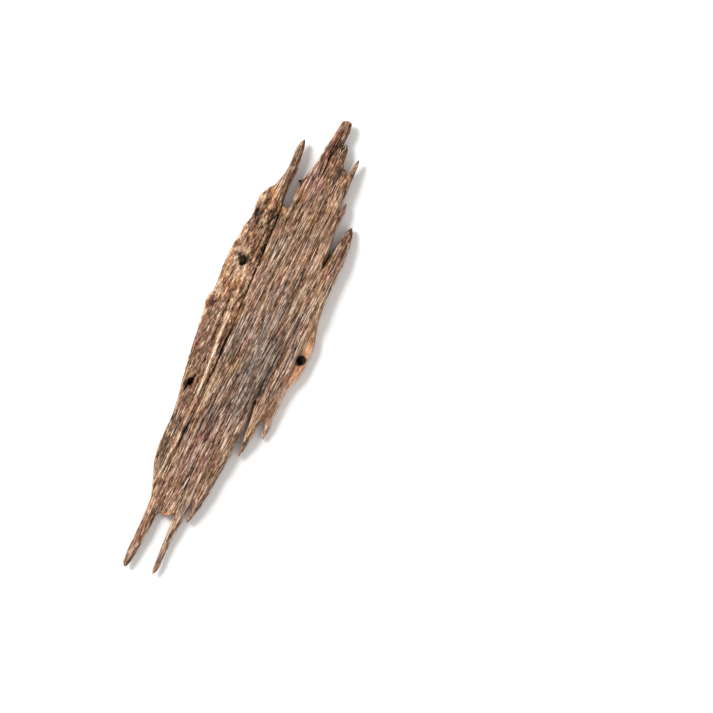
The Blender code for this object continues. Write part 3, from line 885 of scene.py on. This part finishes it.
@dataclass
class WeatheringAndPaintedShade:
    """Where the wood is pale, bare, grey, crumbly or dark, and where shade and highlights are painted into
    it, as values that its finish reads.
    """

    form: FaceForm
    galleries: tuple[Gallery, ...] = (
        Gallery(1.65, 1.0, 0.06, ((22.1, 6.0, 9), (21.9, 5.6, 4.6), (20.6, 3.6, 2.6), (18.6, 0.6, -2))),
        Gallery(
            1.45, 1.2, 0.85, ((-12.2, 28.6, 10), (-12.0, 28.3, 6.0), (-11.4, 26.8, 3.9), (-10.8, 25.0, 3.2)),
        ),
        Gallery(
            1.0, 1.35, 0.95, ((-9.7, -18.2, 9), (-9.6, -18.3, 4.6), (-9.5, -19.0, 3.0), (-9.3, -19.8, 2.4)),
        ),
    )
    grey_zones: tuple[Zone, ...] = zones(
        (9, -4, 5, 17), (8, 12, 5, 12, 0.7), (3, -24, 5, 12, 0.6), (-2, 34, 3, 16, 0.35),
        (14, 8, 3, 10, 0.6), (-1, 2, 3, 12, 0.5), (6, -40, 4, 12, 0.4), (-12, 42, 2, 5, 0.5),
    )
    # Pale patches: some are the wood's own bleached or bared spots, and some are painted highlights along
    # rims, edges and a hole's border.
    pale_and_highlit_zones: tuple[Zone, ...] = zones(
        (4.8, -62.4, 2.0, 1.8, 0.8), (2.8, -64.2, 1.4, 0.9, 0.8), (-7.6, 50.2, 1.3, 1.8, 0.8),
        (-16.3, 24, 0.9, 12, 0.4), (-16.2, 5, 0.9, 5, 0.5), (19.4, 22, 0.7, 12, 0.45),
        (-5.4, 20, 0.4, 16, 0.35), (-15.6, 51, 1.0, 3, 0.5), (21.8, 10.5, 1.6, 2.6, 0.7),
        (11.4, 34, 1.6, 12, 0.45), (3.5, -38, 2.5, 9, 0.2), (8.6, -50, 0.9, 12, 0.5),
        (22.2, -11, 1.0, 7, 0.7), (16.2, -20, 0.8, 8, 0.4), (-13.0, 54.5, 1.6, 2.2, 0.5),
        (-12.5, 19, 3.0, 7, 0.2), (-10.5, -4, 2.0, 9, 0.15), (-16.3, 36.4, 1.3, 2.4, 0.7),
        (-16.6, 48.2, 0.7, 3.6, 0.7), (-17.1, 12, 0.6, 2.6, 0.7), (-16.6, 7.0, 0.7, 2.0, 0.6),
        (-0.7, 88.3, 1.9, 0.6, 0.9), (22.2, -2.0, 1.5, 1.8, 0.7), (3.8, -10.6, 2.2, 1.2, 0.35),
        (8.5, -84.4, 1.0, 1.8, 0.9), (-6.6, -52, 1.4, 4, 0.3), (-11.6, 27.0, 1.9, 3.6, 0.42),
        (-5.5, 37, 0.7, 7, 0.36),
    )
    # Dark patches: some are the wood's own dark stains, some paint shade into hollows, pits, notches and
    # grooves and onto a thin spur, and some paint a shadow over the spear's tip.
    dark_and_shaded_zones: tuple[Zone, ...] = zones(
        (-14.2, -2.4, 1.4, 2.6, 0.5), (-15.4, 10.0, 1.1, 2.4, 0.6), (-15.0, 45.2, 1.0, 1.7),
        (-6.9, 61.8, 0.9, 0.9), (0.4, 78, 4.0, 13, 0.4), (-0.8, 83, 0.5, 5, 0.5),
        (0.9, 85, 0.6, 3.5, 0.5), (16.6, 10, 2.5, 22, 0.2), (16.8, 46, 2.4, 8, 0.1),
        (-11.5, 68, 1.8, 9, 0.26), (13.7, -10, 0.5, 5, 0.5), (-9.6, 47, 0.7, 5, 0.5),
        (18.7, 8, 0.8, 1.4, 0.5), (14.2, 41.2, 0.6, 1.8, 0.8), (-1.7, -72, 2.2, 8, 0.12),
        (9.0, -72, 0.9, 8, 0.36), (-7.0, -40, 2.2, 12, 0.08), (-1.4, 40, 1.4, 16, 0.14),
        (-12.4, 39, 2.0, 5, 0.34), (-14.6, 29.4, 1.4, 0.45, 0.9), (-7.7, 43, 1.3, 8, 0.36),
        (5, -42, 6, 14, 0.1), (-3.0, -22, 1.1, 20, 0.22), (8.2, -76, 1.1, 9, 0.12),
        (6.0, 66, 3.2, 8, 0.12),
    )
    rose_zones: tuple[Zone, ...] = zones(
        (3.0, -36, 2.2, 6, 0.8), (8.0, -38, 1.3, 7, 0.8), (-2.0, 66, 2.5, 7, 0.7),
        (-14.2, -2.4, 1.6, 3.2, 0.9), (-14.3, 9.4, 1.2, 2.0, 0.8), (9.0, -62, 1.2, 7, 0.6),
        (-1.6, -70, 1.6, 9, 0.45), (8.0, 26, 1.4, 9, 0.5), (2.0, 2, 1.5, 8, 0.4),
    )
    straw_zones: tuple[Zone, ...] = zones(
        (4.9, -62.2, 1.8, 1.8), (2.8, -64.3, 1.4, 0.9), (-7.6, 50.3, 1.2, 1.7),
        (-12.8, 55, 1.8, 3.0, 0.9),
    )
    ochre_zones: tuple[Zone, ...] = zones(
        (4.9, -62.0, 1.7, 1.6), (2.8, -64.3, 1.3, 0.9, 0.9), (-7.5, 50.2, 1.3, 1.7),
        (-12.8, 54.6, 1.6, 2.6, 0.8), (-1.7, -77, 1.6, 11, 0.6), (0.5, 72, 5, 14, 0.45),
        (-5.4, 37, 0.9, 8, 0.85), (-9.0, 6, 0.7, 8, 0.7), (-16.4, 36.6, 1.2, 2.4, 0.7),
        (-16.6, 11, 0.8, 4, 0.7), (-6.0, -56, 1.5, 3.5, 0.6), (19.2, -22, 1.6, 4, 0.5),
        (16.0, -24, 0.8, 7, 0.5), (-16.6, 49, 0.7, 3.0, 0.6), (-12.0, 17, 1.6, 4, 0.4),
    )
    # Painted shadow: these slots and pits beside the holes take the hole's near-black colour.
    slots: tuple[Zone, ...] = zones(
        (-6.9, 34.4, 0.42, 1.1), (-10.2, -20.6, 0.42, 1.2), (-9.0, -16.5, 0.38, 1.0),
    )
    # Streaks painted lighter or darker: some are the wood's own, some paint shade into grooves and highlights
    # along a ridge. 1 is the whole range of the wood.
    marks_and_painted_shade: tuple[GrainLine, ...] = grain_lines(
        (0.2, 0.3, (-9.2, 14), (-8.5, 7), (-7.5, 0), (-6.4, -8)),
        (0.32, 0.5, (-6.9, -2), (-6.3, -8), (-5.6, -16), (-5.0, -26), (-4.6, -40), (-4.8, -50)),
        (0.2, 0.3, (-8.0, 10), (-6.9, -2), (-5.8, -10)),
        (0.2, 0.3, (12.4, 46), (11.8, 34), (12.0, 20)),
        (0.16, 0.3, (9.9, 44), (9.4, 30)),
        (0.16, 0.3, (-3.9, 22), (-3.4, 4), (-2.8, -20), (-2.2, -44)),
        (0.26, 0.4, (23.2, -3), (23.7, 1), (23.6, 8), (22.7, 13)),
        (0.18, 0.35, (8.2, -34), (8.7, -48), (8.9, -62)),
        (0.22, 0.35, (-2.4, -62), (-2.6, -72), (-2.3, -82)),
        (0.28, 0.4, (13.0, -34), (12.6, -44), (12.0, -54), (11.3, -62)),
        (0.05, 0.35, (6.7, -62), (7.1, -70), (7.8, -78), (8.2, -84)),
        (0.3, 0.3, (14.1, -13), (15.2, -20), (16.2, -27), (17.0, -34)),
        (0.25, 0.4, (20.6, -6), (20.6, -14), (21.2, -20), (22.0, -25)),
        (0.22, 0.4, (22.6, -5), (22.9, -2), (23.5, 1)),
        (-0.2, 0.3, (13.3, -4), (13.5, -10), (13.8, -15)),
        (-0.16, 0.35, (4.6, -2), (4.9, -20), (4.4, -34)),
        (0.2, 0.35, (-14.6, 36), (-14.9, 24), (-14.2, 14)),
        (-0.42, 0.26, (-8.0, 50), (-7.1, 40), (-6.4, 28), (-5.5, 16), (-4.7, 3), (-4.4, -4)),
        (-0.3, 0.16, (2.2, 46), (2.6, 30), (2.4, 16)),
        (-0.3, 0.16, (8.7, 34), (8.9, 16), (9.4, -4)),
        (-0.3, 0.16, (12.0, 4), (11.8, -14), (11.4, -30)),
        (-0.26, 0.16, (-1.2, 20), (-1.0, 2), (-0.6, -16)),
        (-0.26, 0.16, (2.6, -18), (2.4, -34), (2.0, -48)),
        (-0.26, 0.16, (15.6, 30), (15.4, 14), (15.6, -6)),
    )
    # What breaks up the borders of patches, those of the strip and the ledge, and the streaks.
    patch_breaks: tuple[Lumps, ...] = (Lumps(0.45, 1.2, 9.0, 41.0), Lumps(0.3, 0.6, 3.5, 42.0))
    border_breaks: Lumps = Lumps(0.35, 1.1, 6.0, 51.0)
    streak_breaks: Lumps = Lumps(0.9, 2.0, 5.0, 52.0)
    # Under these shares a patch or a border counts as nothing, and isn't broken up.
    patch_trace: float = 0.05
    border_trace: float = 0.02
    patch_slope: float = 0.7
    # Along the grain: the strip's rotten stretch, the straw colour that fades at its ends, and the ledge,
    # which is reddest round the hole.
    rotten: tuple[Fade, ...] = (Fade(0, 1, -2, 12), Fade(0, 1, 56, -4))
    straw: tuple[Fade, ...] = (Fade(0.12, 1, -26, 18), Fade(1, 0.5, 27, 10))
    reddish: tuple[Fade, ...] = (Fade(1, 0.45, 8, 7), Fade(1, 0.65, -6, -8))
    crumb_share: float = 0.75
    back_straw: float = 0.25
    hole_dark: float = 0.95
    # How much each thing lightens or darkens the wood. The grooves, ridges and fine bundles of the relief
    # paint shade and highlights into the colour.
    painted_groove_shade: float = 0.28
    deepest: float = -1.1
    painted_ridge_highlight: float = 0.14
    painted_fine_shade: float = 0.28
    pale_shade: float = 0.42
    dark_shade: float = -0.55
    strip_shade: float = -0.055
    ledge_shade: float = 0.13
    back_shade: float = -0.06
    # The walls of a tunnel are dark to just past its radius, and the face gives way to the back over a depth.
    hole_rim: Place = (1.02, 0.16)
    face_depth: float = 0.8

    def in_galleries(self, points: Array) -> Array:
        """1 inside a borer's tunnel, fading out just past its wall.

        Args:
            points: rows of x, y, z in millimetres.

        Returns:
            A share for each point.
        """
        inside = np.zeros(len(points))
        for gallery in self.galleries:
            route = np.array(gallery.route, float)
            nearest = np.full(len(points), np.inf)
            for start, end in zip(route, route[1:]):
                along = end - start
                share = np.clip((points - start) @ along / (along @ along), 0, 1)
                off = (points - start - share[:, None] * along) / (1, gallery.stretch, 1)
                nearest = np.minimum(nearest, np.linalg.norm(off, axis=1))
            rim, width = self.hole_rim
            inside = np.maximum(inside, 1 - smooth_step((nearest / gallery.radius - rim) / width))
        return inside

    def _patches(self, x: Array, y: Array, patches: tuple[Zone, ...]) -> Array:
        """The strongest of some soft patches at each point, their borders broken up along the grain.

        Args:
            x: places across the grain.
            y: places along the grain.
            patches: the patches.

        Returns:
            A share for each point.
        """
        shares = [patch.strength * np.exp(-patch.off(x, y) * self.patch_slope) for patch in patches]
        total = np.max(shares, axis=0)
        breaks = sum(layer.at(x, y) for layer in self.patch_breaks)
        return smooth_step(total + breaks * (total > self.patch_trace))

    def upper(self, points: Array) -> Array:
        """Tells the face from the back.

        Args:
            points: rows of x, y, z in millimetres.

        Returns:
            1 on the face, 0 on the back, and between them on the edges.
        """
        x, y, z = points.T
        middle = self.form.middle(self.form.face_height(x, y)) + self.form.lift(x, y)
        return smooth_step((z - middle) / self.face_depth)

    def values(self, points: Array) -> Values:
        """Says what the wood is like at each point.

        Args:
            points: rows of x, y, z in millimetres, in the outline's own places.

        Returns:
            Values from 0 to 1 for each name that the finish reads, with the shade 0.5 where it is plain.
        """
        x, y, _ = points.T
        form, upper = self.form, self.upper(points)
        strip, ledge = form.strip(x, y), form.ledge(x, y)
        rotten = strip * self.rotten[0].at(y) * self.rotten[1].at(y)
        breaks = self.border_breaks.at(x, y)
        torn_strip, torn_ledge, torn_crumb = (
            smooth_step(share + breaks * (share > self.border_trace)) for share in (strip, ledge, rotten))
        pale, dark, straw, grey, rose, ochre, slots = (self._patches(x, y, patches) for patches in (
            self.pale_and_highlit_zones, self.dark_and_shaded_zones, self.straw_zones, self.grey_zones, self.rose_zones,
            self.ochre_zones, self.slots))
        lines, broken = form.lines(form.face_lines, x, y), 1 + self.streak_breaks.at(x, y)
        # Painted shade and highlights: grooves and creases in the relief are darkened, ridges and high
        # bundles lightened.
        relief = self.painted_groove_shade * np.clip(lines, self.deepest, 0) * broken
        relief += self.painted_ridge_highlight * np.maximum(lines, 0) + self.painted_fine_shade * form.fine(x, y, strip)
        # Stains, and painted shade and highlights from the dark and pale patches and the marks.
        stains_and_painted_shade = self.pale_shade * pale + self.dark_shade * dark
        stains_and_painted_shade += form.lines(self.marks_and_painted_shade, x, y) * broken + self.strip_shade * strip + self.ledge_shade * ledge
        fading = self.straw[0].at(y) * self.straw[1].at(y)
        dry = torn_strip * (self.back_straw + (1 - self.back_straw) * upper) * fading
        return {
            "strip": np.maximum(dry, straw * upper),
            "ledge": torn_ledge * self.reddish[0].at(y) * self.reddish[1].at(y),
            "crumb": torn_crumb * self.crumb_share,
            "grey": grey * upper,
            "rose": rose * upper,
            "ochre": ochre * upper,
            "dark": self.hole_dark * np.maximum(self.in_galleries(points), slots * upper),
            "shade": 0.5 + (relief + stains_and_painted_shade) * upper + self.back_shade * (1 - upper),
        }


@dataclass
class AgarwoodPiece:
    """The splinter itself, from a flat board of its outline to the torn, bored and weathered wood."""

    form: FaceForm
    weathering_and_shade: WeatheringAndPaintedShade
    # Painted shade: the wood between loose fibres is darkened as if in their shadow and in the resin's dark,
    # less so in the crumbs.
    painted_shade_between_fibres: float = -0.13
    crumb_relief: float = 0.5
    board: float = 2.4
    # The board's cells, in millimetres across the grain, are so many times longer along it.
    cell: float = 0.25
    grain_stretch: float = 2.6
    bore_sides: int = 20
    # How fine the noise of a tunnel's wall is, and the first tunnel's layer of it.
    bore_play: float = 3.0
    bore_layer: float = 30.0

    def _flat_board(self) -> bpy.types.Object:
        """Draws the outline as a filled face and extrudes it to a board.

        Returns:
            The board, with even cells that are longer along the grain than across it.
        """
        board = add_disc(vertices=len(OUTLINE), radius=1.0)
        board.name = "agarwood_splinter"
        set_points(board, np.column_stack([np.array(OUTLINE, float), np.full(len(OUTLINE), -self.board / 2)]))
        draw_out([(0, 0, self.board)])
        squeeze = np.array([1.0, 1 / self.grain_stretch, 1.0])
        set_points(board, points_of(board) * squeeze)
        apply_modifier(board, "REMESH", mode="VOXEL", voxel_size=self.cell, adaptivity=0.0)
        set_points(board, points_of(board) / squeeze)
        return board

    def _cut(self, wood: bpy.types.Object, gallery: Gallery, layer: float) -> None:
        """Cuts a borer's tunnel out of the wood, as a slightly uneven tube along its route.

        Args:
            wood: the wood, in millimetres.
            gallery: the tunnel.
            layer: its own layer of noise.
        """
        bore = add_disc(vertices=self.bore_sides, radius=gallery.radius, location=gallery.route[0])
        steps = zip(gallery.route, gallery.route[1:])
        draw_out([tuple(np.subtract(after, before)) for before, after in steps])
        points = points_of(bore)
        ragged = 1 + Lumps(gallery.ragged, 1.0, 1.0, layer).at(*(points[:, :2] * self.bore_play).T)
        middle = np.repeat(np.array(gallery.route)[:, :2], self.bore_sides, axis=0)
        points[:, :2] = middle + (points[:, :2] - middle) * ragged[:, None] * (1, gallery.stretch)
        set_points(bore, points)
        apply_modifier(wood, "BOOLEAN", operation="DIFFERENCE", object=bore, solver="EXACT")
        bpy.data.objects.remove(bore)

    def build(self, finish: bpy.types.Material) -> tuple[bpy.types.Object, Array]:
        """Makes the piece and puts it where the solid is.

        Args:
            finish: the wood's material.

        Returns:
            The finished object, and its points in the outline's own places in millimetres.
        """
        wood = self._flat_board()
        set_points(wood, self.form.shaped(points_of(wood), self.board))
        for index, gallery in enumerate(self.weathering_and_shade.galleries):
            self._cut(wood, gallery, self.bore_layer + index)
        points = points_of(wood)
        values = self.weathering_and_shade.values(points)
        # Painted shade between the fibres, lighter in the crumbs.
        between = self.painted_shade_between_fibres * (1 - self.crumb_relief * values["crumb"])
        values["shade"] += between * self.weathering_and_shade.upper(points)
        set_points(wood, at_rest(points, points[:, 2].min()))
        dress(wood, values, finish, Shading.TORN_WOOD)
        return wood, points


@dataclass
class Fibres:
    """What is drawn for each fibre: its middle and its heading, its sizes and how far it stands free."""

    middle: Array
    heading: Array
    length: Array
    width: Array
    lifted: Array
    spare: Array


@dataclass
class FibreCoat:
    """The fibres that the split left standing: each lies along the grain and has its own shade."""

    weathering_and_shade: WeatheringAndPaintedShade
    count: int = 9800
    # Shares of the fibre's length at which it is held to the wood, and its radius there for a width of 1.
    stations: tuple[float, ...] = (0.0, 0.22, 0.55, 0.82, 1.0)
    radii: tuple[float, ...] = (0.01, 0.36, 0.5, 0.3, 0.01)
    point_merge: float = 0.03
    face_length: Place = (2.5, 15.0)
    face_width: Place = (0.26, 0.6)
    crumb_length: Place = (1.0, 4.6)
    crumb_width: Place = (0.3, 0.85)
    height_share: float = 0.42
    sunk: float = 0.35
    lifted_share: float = 0.07
    lifted_height: float = 0.7
    # The share of the fibres that may stand out past a torn end, and how far at most.
    free_share: float = 0.6
    overhang: float = 0.8
    sway: Lumps = Lumps(1.5, 9.0, 16.0, 71.0)
    turn_degrees: float = 1.1
    crumb_turn_degrees: float = 6.5
    back_density: float = 0.45
    ledge_density: float = 0.85
    shade_spread: float = 0.3
    crumb_evenness: float = 0.7
    fibre_shade: float = 0.1
    # No fibre starts in a tunnel, and one that would bridge it is broken off to a share of its length.
    broken_share: float = 0.4
    bridge_limit: float = 0.05
    bridge_tests: int = 11
    hole_limit: float = 0.02
    # No fibre lies on a broken end, which faces along the grain, or bends round an edge.
    end_grain: float = 0.5
    most_miss: float = 0.3
    least_turn: float = 0.72
    least_spare: float = 0.1
    # The flats that the piece rests on are worn bare.
    worn_depth: float = 0.05
    seed: int = 5

    def _one_fibre(self) -> bpy.types.Object:
        """Models one fibre, a millimetre long and wide, as a three-sided rod.

        Returns:
            The fibre, drawn out to a point at each end.
        """
        fibre = add_disc(vertices=3, radius=self.radii[0], rotation=(math.radians(90), 0, 0))
        moves = [(0, end - start, 0) for start, end in zip(self.stations, self.stations[1:])]
        draw_out(moves, [thick / thin for thin, thick in zip(self.radii, self.radii[1:])], self.point_merge)
        fibre.name = "agarwood_torn_fibres"
        return fibre

    def _seeds(self, wood: bpy.types.Object, lowest: float, rng: np.random.Generator) -> Array:
        """Chooses where fibres lie, more of them on the face than on the back and the bare ledge.

        Args:
            wood: the finished wood.
            lowest: the height of its lowest point in its own places.
            rng: the source of the fibres' random numbers.

        Returns:
            The fibres' middles, in the outline's own places.
        """
        faces = wood.data.polygons
        area, centre = np.empty(len(faces)), np.empty(len(faces) * 3)
        faces.foreach_get("area", area)
        faces.foreach_get("center", centre)
        centre = centre.reshape(-1, 3) / MM + (*OUTLINE_MIDDLE, lowest)
        ledge = self.weathering_and_shade.form.ledge(centre[:, 0], centre[:, 1])
        density = self.back_density + (1 - self.back_density) * self.weathering_and_shade.upper(centre)
        density *= 1 - (1 - self.ledge_density) * ledge
        weight = area * density * (self.weathering_and_shade.in_galleries(centre) < self.hole_limit)
        return centre[rng.choice(len(faces), size=self.count, p=weight / weight.sum())]

    def _drawn(self, middle: Array, crumb: Array, rng: np.random.Generator) -> Fibres:
        """Draws each fibre's heading and sizes: short and askew in the crumbs, long and straight elsewhere.

        Args:
            middle: the fibres' middles.
            crumb: the share of crumbs there.
            rng: the source of the fibres' random numbers.

        Returns:
            The fibres.
        """
        count = len(middle)
        turn_spread = self.turn_degrees + (self.crumb_turn_degrees - self.turn_degrees) * crumb
        turn = np.radians(self.sway.at(middle[:, 0], middle[:, 1]) + rng.normal(0, 1, count) * turn_spread)
        heading = np.column_stack([np.sin(turn), np.cos(turn), np.zeros(count)])
        spread = rng.uniform(0, 1, (4, count))
        shortest, longest = self.face_length
        length = np.where(crumb > 0.5, np.interp(spread[0], (0, 1), self.crumb_length),
                          shortest + (longest - shortest) * spread[0] ** 2)
        width = np.where(crumb > 0.5, np.interp(spread[1], (0, 1), self.crumb_width),
                         np.interp(spread[1], (0, 1), self.face_width))
        lifted = np.where(spread[2] < self.lifted_share, self.lifted_height * spread[3], 0.0)
        free = rng.uniform(0, 1, count) < self.free_share
        spare = np.where(free, self.overhang * rng.uniform(0, 1, count), 0.0)
        bridging = self._bridging(middle, heading, length) >= self.bridge_limit
        length = np.where(bridging, self.broken_share * length, length)
        return Fibres(middle, heading, length, width, lifted, spare)

    def _bridging(self, middle: Array, heading: Array, length: Array) -> Array:
        """Tests each fibre along its length for a borer's tunnel.

        Args:
            middle: the fibres' middles.
            heading: their directions.
            length: their lengths.

        Returns:
            How far each would reach into a tunnel, from 0 to 1.
        """
        shares = np.linspace(-0.5, 0.5, self.bridge_tests)
        tests = (middle + heading * (share * length)[:, None] for share in shares)
        return np.max([self.weathering_and_shade.in_galleries(test) for test in tests], axis=0)

    def _laid(self, tree: BVHTree, fibres: Fibres, index: int) -> tuple[Array, Array] | None:
        """Lays one fibre along the wood from its middle to both ends.

        Args:
            tree: the wood's surface.
            fibres: all the fibres.
            index: which one is laid.

        Returns:
            Its places on the wood and the surface's normals there, or nothing where the wood bends away.
        """
        heading, length, spare = Vector(fibres.heading[index]), fibres.length[index], fibres.spare[index]
        middle = len(self.stations) // 2
        places, normals = [None] * len(self.stations), [None] * len(self.stations)
        places[middle], normals[middle], _, _ = tree.find_nearest(Vector(fibres.middle[index]))
        for step, order in ((1, range(middle + 1, len(self.stations))), (-1, range(middle - 1, -1, -1))):
            for station in order:
                before, normal = places[station - step], normals[station - step]
                if abs(heading.dot(normal)) > self.end_grain:
                    return None
                along = (heading - normal * heading.dot(normal)).normalized()
                goal = before + along * length * (self.stations[station] - self.stations[station - step])
                place, bent, _, miss = tree.find_nearest(goal)
                if miss > self.most_miss or bent.dot(normal) < self.least_turn:
                    if spare < self.least_spare:
                        return None
                    # The last stretch stands free, held by what lies on the wood.
                    place, bent = before + along * min(spare, (goal - before).length), normal
                    spare -= (place - before).length
                places[station], normals[station] = place, bent
        return np.array(places), np.array(normals)

    def build(self, wood: bpy.types.Object, points: Array, finish: bpy.types.Material) -> bpy.types.Object:
        """Lays the fibres on the wood as one piece.

        Args:
            wood: the finished wood.
            points: its points in the outline's own places.
            finish: the wood's material.

        Returns:
            The finished coat of fibres.
        """
        rng = np.random.default_rng(self.seed)
        coat = self._one_fibre()
        shape = points_of(coat)
        outline = [tuple(face.vertices) for face in coat.data.polygons]
        station = np.abs(shape[:, 1:2] - np.array(self.stations)).argmin(axis=1)
        lowest = points[:, 2].min()
        middle = self._seeds(wood, lowest, rng)
        values = self.weathering_and_shade.values(middle)
        fibres = self._drawn(middle, values["crumb"], rng)
        tree = BVHTree.FromPolygons(points.tolist(), [tuple(face.vertices) for face in wood.data.polygons])
        made, kept = [], []
        clear = self._bridging(middle, fibres.heading, fibres.length) < self.bridge_limit
        for index in np.flatnonzero(clear):
            laid = self._laid(tree, fibres, index)
            if laid is None:
                continue
            places, normals = laid[0][station], laid[1][station]
            side = np.cross(fibres.heading[index], normals)
            side /= np.linalg.norm(side, axis=1)[:, None]
            width = fibres.width[index]
            rise = width * self.height_share * (2 * shape[:, 2] + 0.5 - self.sunk)
            rise += fibres.lifted[index] * shape[:, 1] ** 3
            fibre = places + side * (shape[:, :1] * width) + normals * rise[:, None]
            if fibre[:, 2].min() > lowest - self.worn_depth:
                made.append(fibre)
                kept.append(index)
        first = (len(shape) * np.arange(len(made))).tolist()
        faces = [tuple(corner + start for corner in face) for start in first for face in outline]
        coat.data.clear_geometry()
        coat.data.from_pydata(at_rest(np.concatenate(made), lowest).tolist(), [], faces)
        spread = rng.normal(0, self.shade_spread, len(middle)) * (1 - self.crumb_evenness * values["crumb"])
        values["shade"] += spread + self.fibre_shade
        values = {name: np.repeat(amounts[kept], len(shape)) for name, amounts in values.items()}
        dress(coat, values, finish, Shading.FIBRE)
        return coat


@dataclass(frozen=True)
class Lamp:
    """A soft square lamp, placed in metres to the right and up in the picture and above the floor."""

    name: str
    right: float
    up: float
    height: float
    size: float
    watts: float


@dataclass
class Studio:
    """A pale floor, soft light from above and a camera that looks straight down, as the photograph's does."""

    # The camera stands over this place of the outline, and its picture is this wide at the wood.
    aim: Place = (38.6, 15.5)
    picture_width: float = 249.55
    lens: float = 85.0
    sensor: float = 36.0
    lean_degrees: float = 26.5
    face_level: float = 6.0
    clip_start: float = 0.01
    floor_colour: str = "#f7f6f4"
    floor_roughness: float = 0.95
    floor_gloss: float = 0.1
    floor_size: float = 3.0
    lamps: tuple[Lamp, ...] = (
        Lamp("key_lamp", -0.55, 0.45, 0.75, 0.4, 11.0),
        Lamp("fill_lamp", 0.6, -0.3, 0.8, 0.9, 2.4),
    )
    sky_strength: float = 0.54

    def _floor(self) -> None:
        """Lays the surface that the piece rests on."""
        bpy.ops.object.select_all(action="DESELECT")
        bpy.ops.mesh.primitive_plane_add(size=self.floor_size, location=(0, 0, 0))
        floor = bpy.context.object
        floor.name = "floor"
        material = bpy.data.materials.new("matt_paper_floor")
        material.use_nodes = True
        shader = material.node_tree.nodes["Principled BSDF"]
        shader.inputs["Base Color"].default_value = linear(self.floor_colour)
        shader.inputs["Roughness"].default_value = self.floor_roughness
        shader.inputs["Specular IOR Level"].default_value = self.floor_gloss
        floor.data.materials.append(material)

    def _hang(self, lamp: Lamp) -> None:
        """Hangs one lamp that looks at the piece.

        Args:
            lamp: the lamp.
        """
        turn = math.radians(self.lean_degrees)
        right = Vector((math.cos(turn), math.sin(turn), 0))
        up = Vector((-math.sin(turn), math.cos(turn), 0))
        place = right * lamp.right + up * lamp.up + Vector((0, 0, lamp.height))
        bpy.ops.object.select_all(action="DESELECT")
        bpy.ops.object.light_add(type="AREA", location=place)
        light = bpy.context.object
        light.name = lamp.name
        light.data.size = lamp.size
        light.data.energy = lamp.watts
        light.rotation_euler = (-place).to_track_quat("-Z", "Y").to_euler()

    def _camera(self) -> None:
        """Looks straight down with the picture's top leaning as far from the grain as in the photograph."""
        distance = self.picture_width * self.lens / self.sensor + self.face_level
        aim = [(aim - middle) * MM for aim, middle in zip(self.aim, OUTLINE_MIDDLE)]
        bpy.ops.object.select_all(action="DESELECT")
        bpy.ops.object.camera_add(location=(*aim, distance * MM))
        camera = bpy.context.object
        camera.name = "camera"
        camera.rotation_euler = (0, 0, math.radians(self.lean_degrees))
        camera.data.lens = self.lens
        camera.data.sensor_width = self.sensor
        camera.data.clip_start = self.clip_start
        bpy.context.scene.camera = camera

    def build(self) -> None:
        """Sets up the floor, the light and the camera."""
        self._floor()
        for lamp in self.lamps:
            self._hang(lamp)
        world = bpy.data.worlds.new("studio")
        bpy.context.scene.world = world
        world.use_nodes = True
        sky = world.node_tree.nodes["Background"]
        sky.inputs["Color"].default_value = (1, 1, 1, 1)
        sky.inputs["Strength"].default_value = self.sky_strength
        self._camera()
        bpy.context.scene.view_settings.view_transform = "Standard"


def main() -> None:
    """Builds the piece and the studio, and reports each piece."""
    logging.basicConfig(level=logging.INFO, format="%(name)s: %(message)s")
    finish = AgarwoodFinish().build()
    form = FaceForm()
    weathering_and_shade = WeatheringAndPaintedShade(form)
    wood, points = AgarwoodPiece(form, weathering_and_shade).build(finish)
    coat = FibreCoat(weathering_and_shade).build(wood, points, finish)
    for piece in (wood, coat):
        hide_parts(NODE)
        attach(piece, BODY)
        triangles = sum(len(face.vertices) - 2 for face in piece.data.polygons)
        LOG.info("%s: %d vertices, %d triangles", piece.name, len(piece.data.vertices), triangles)
    Studio().build()


if __name__ == "__main__":
    main()
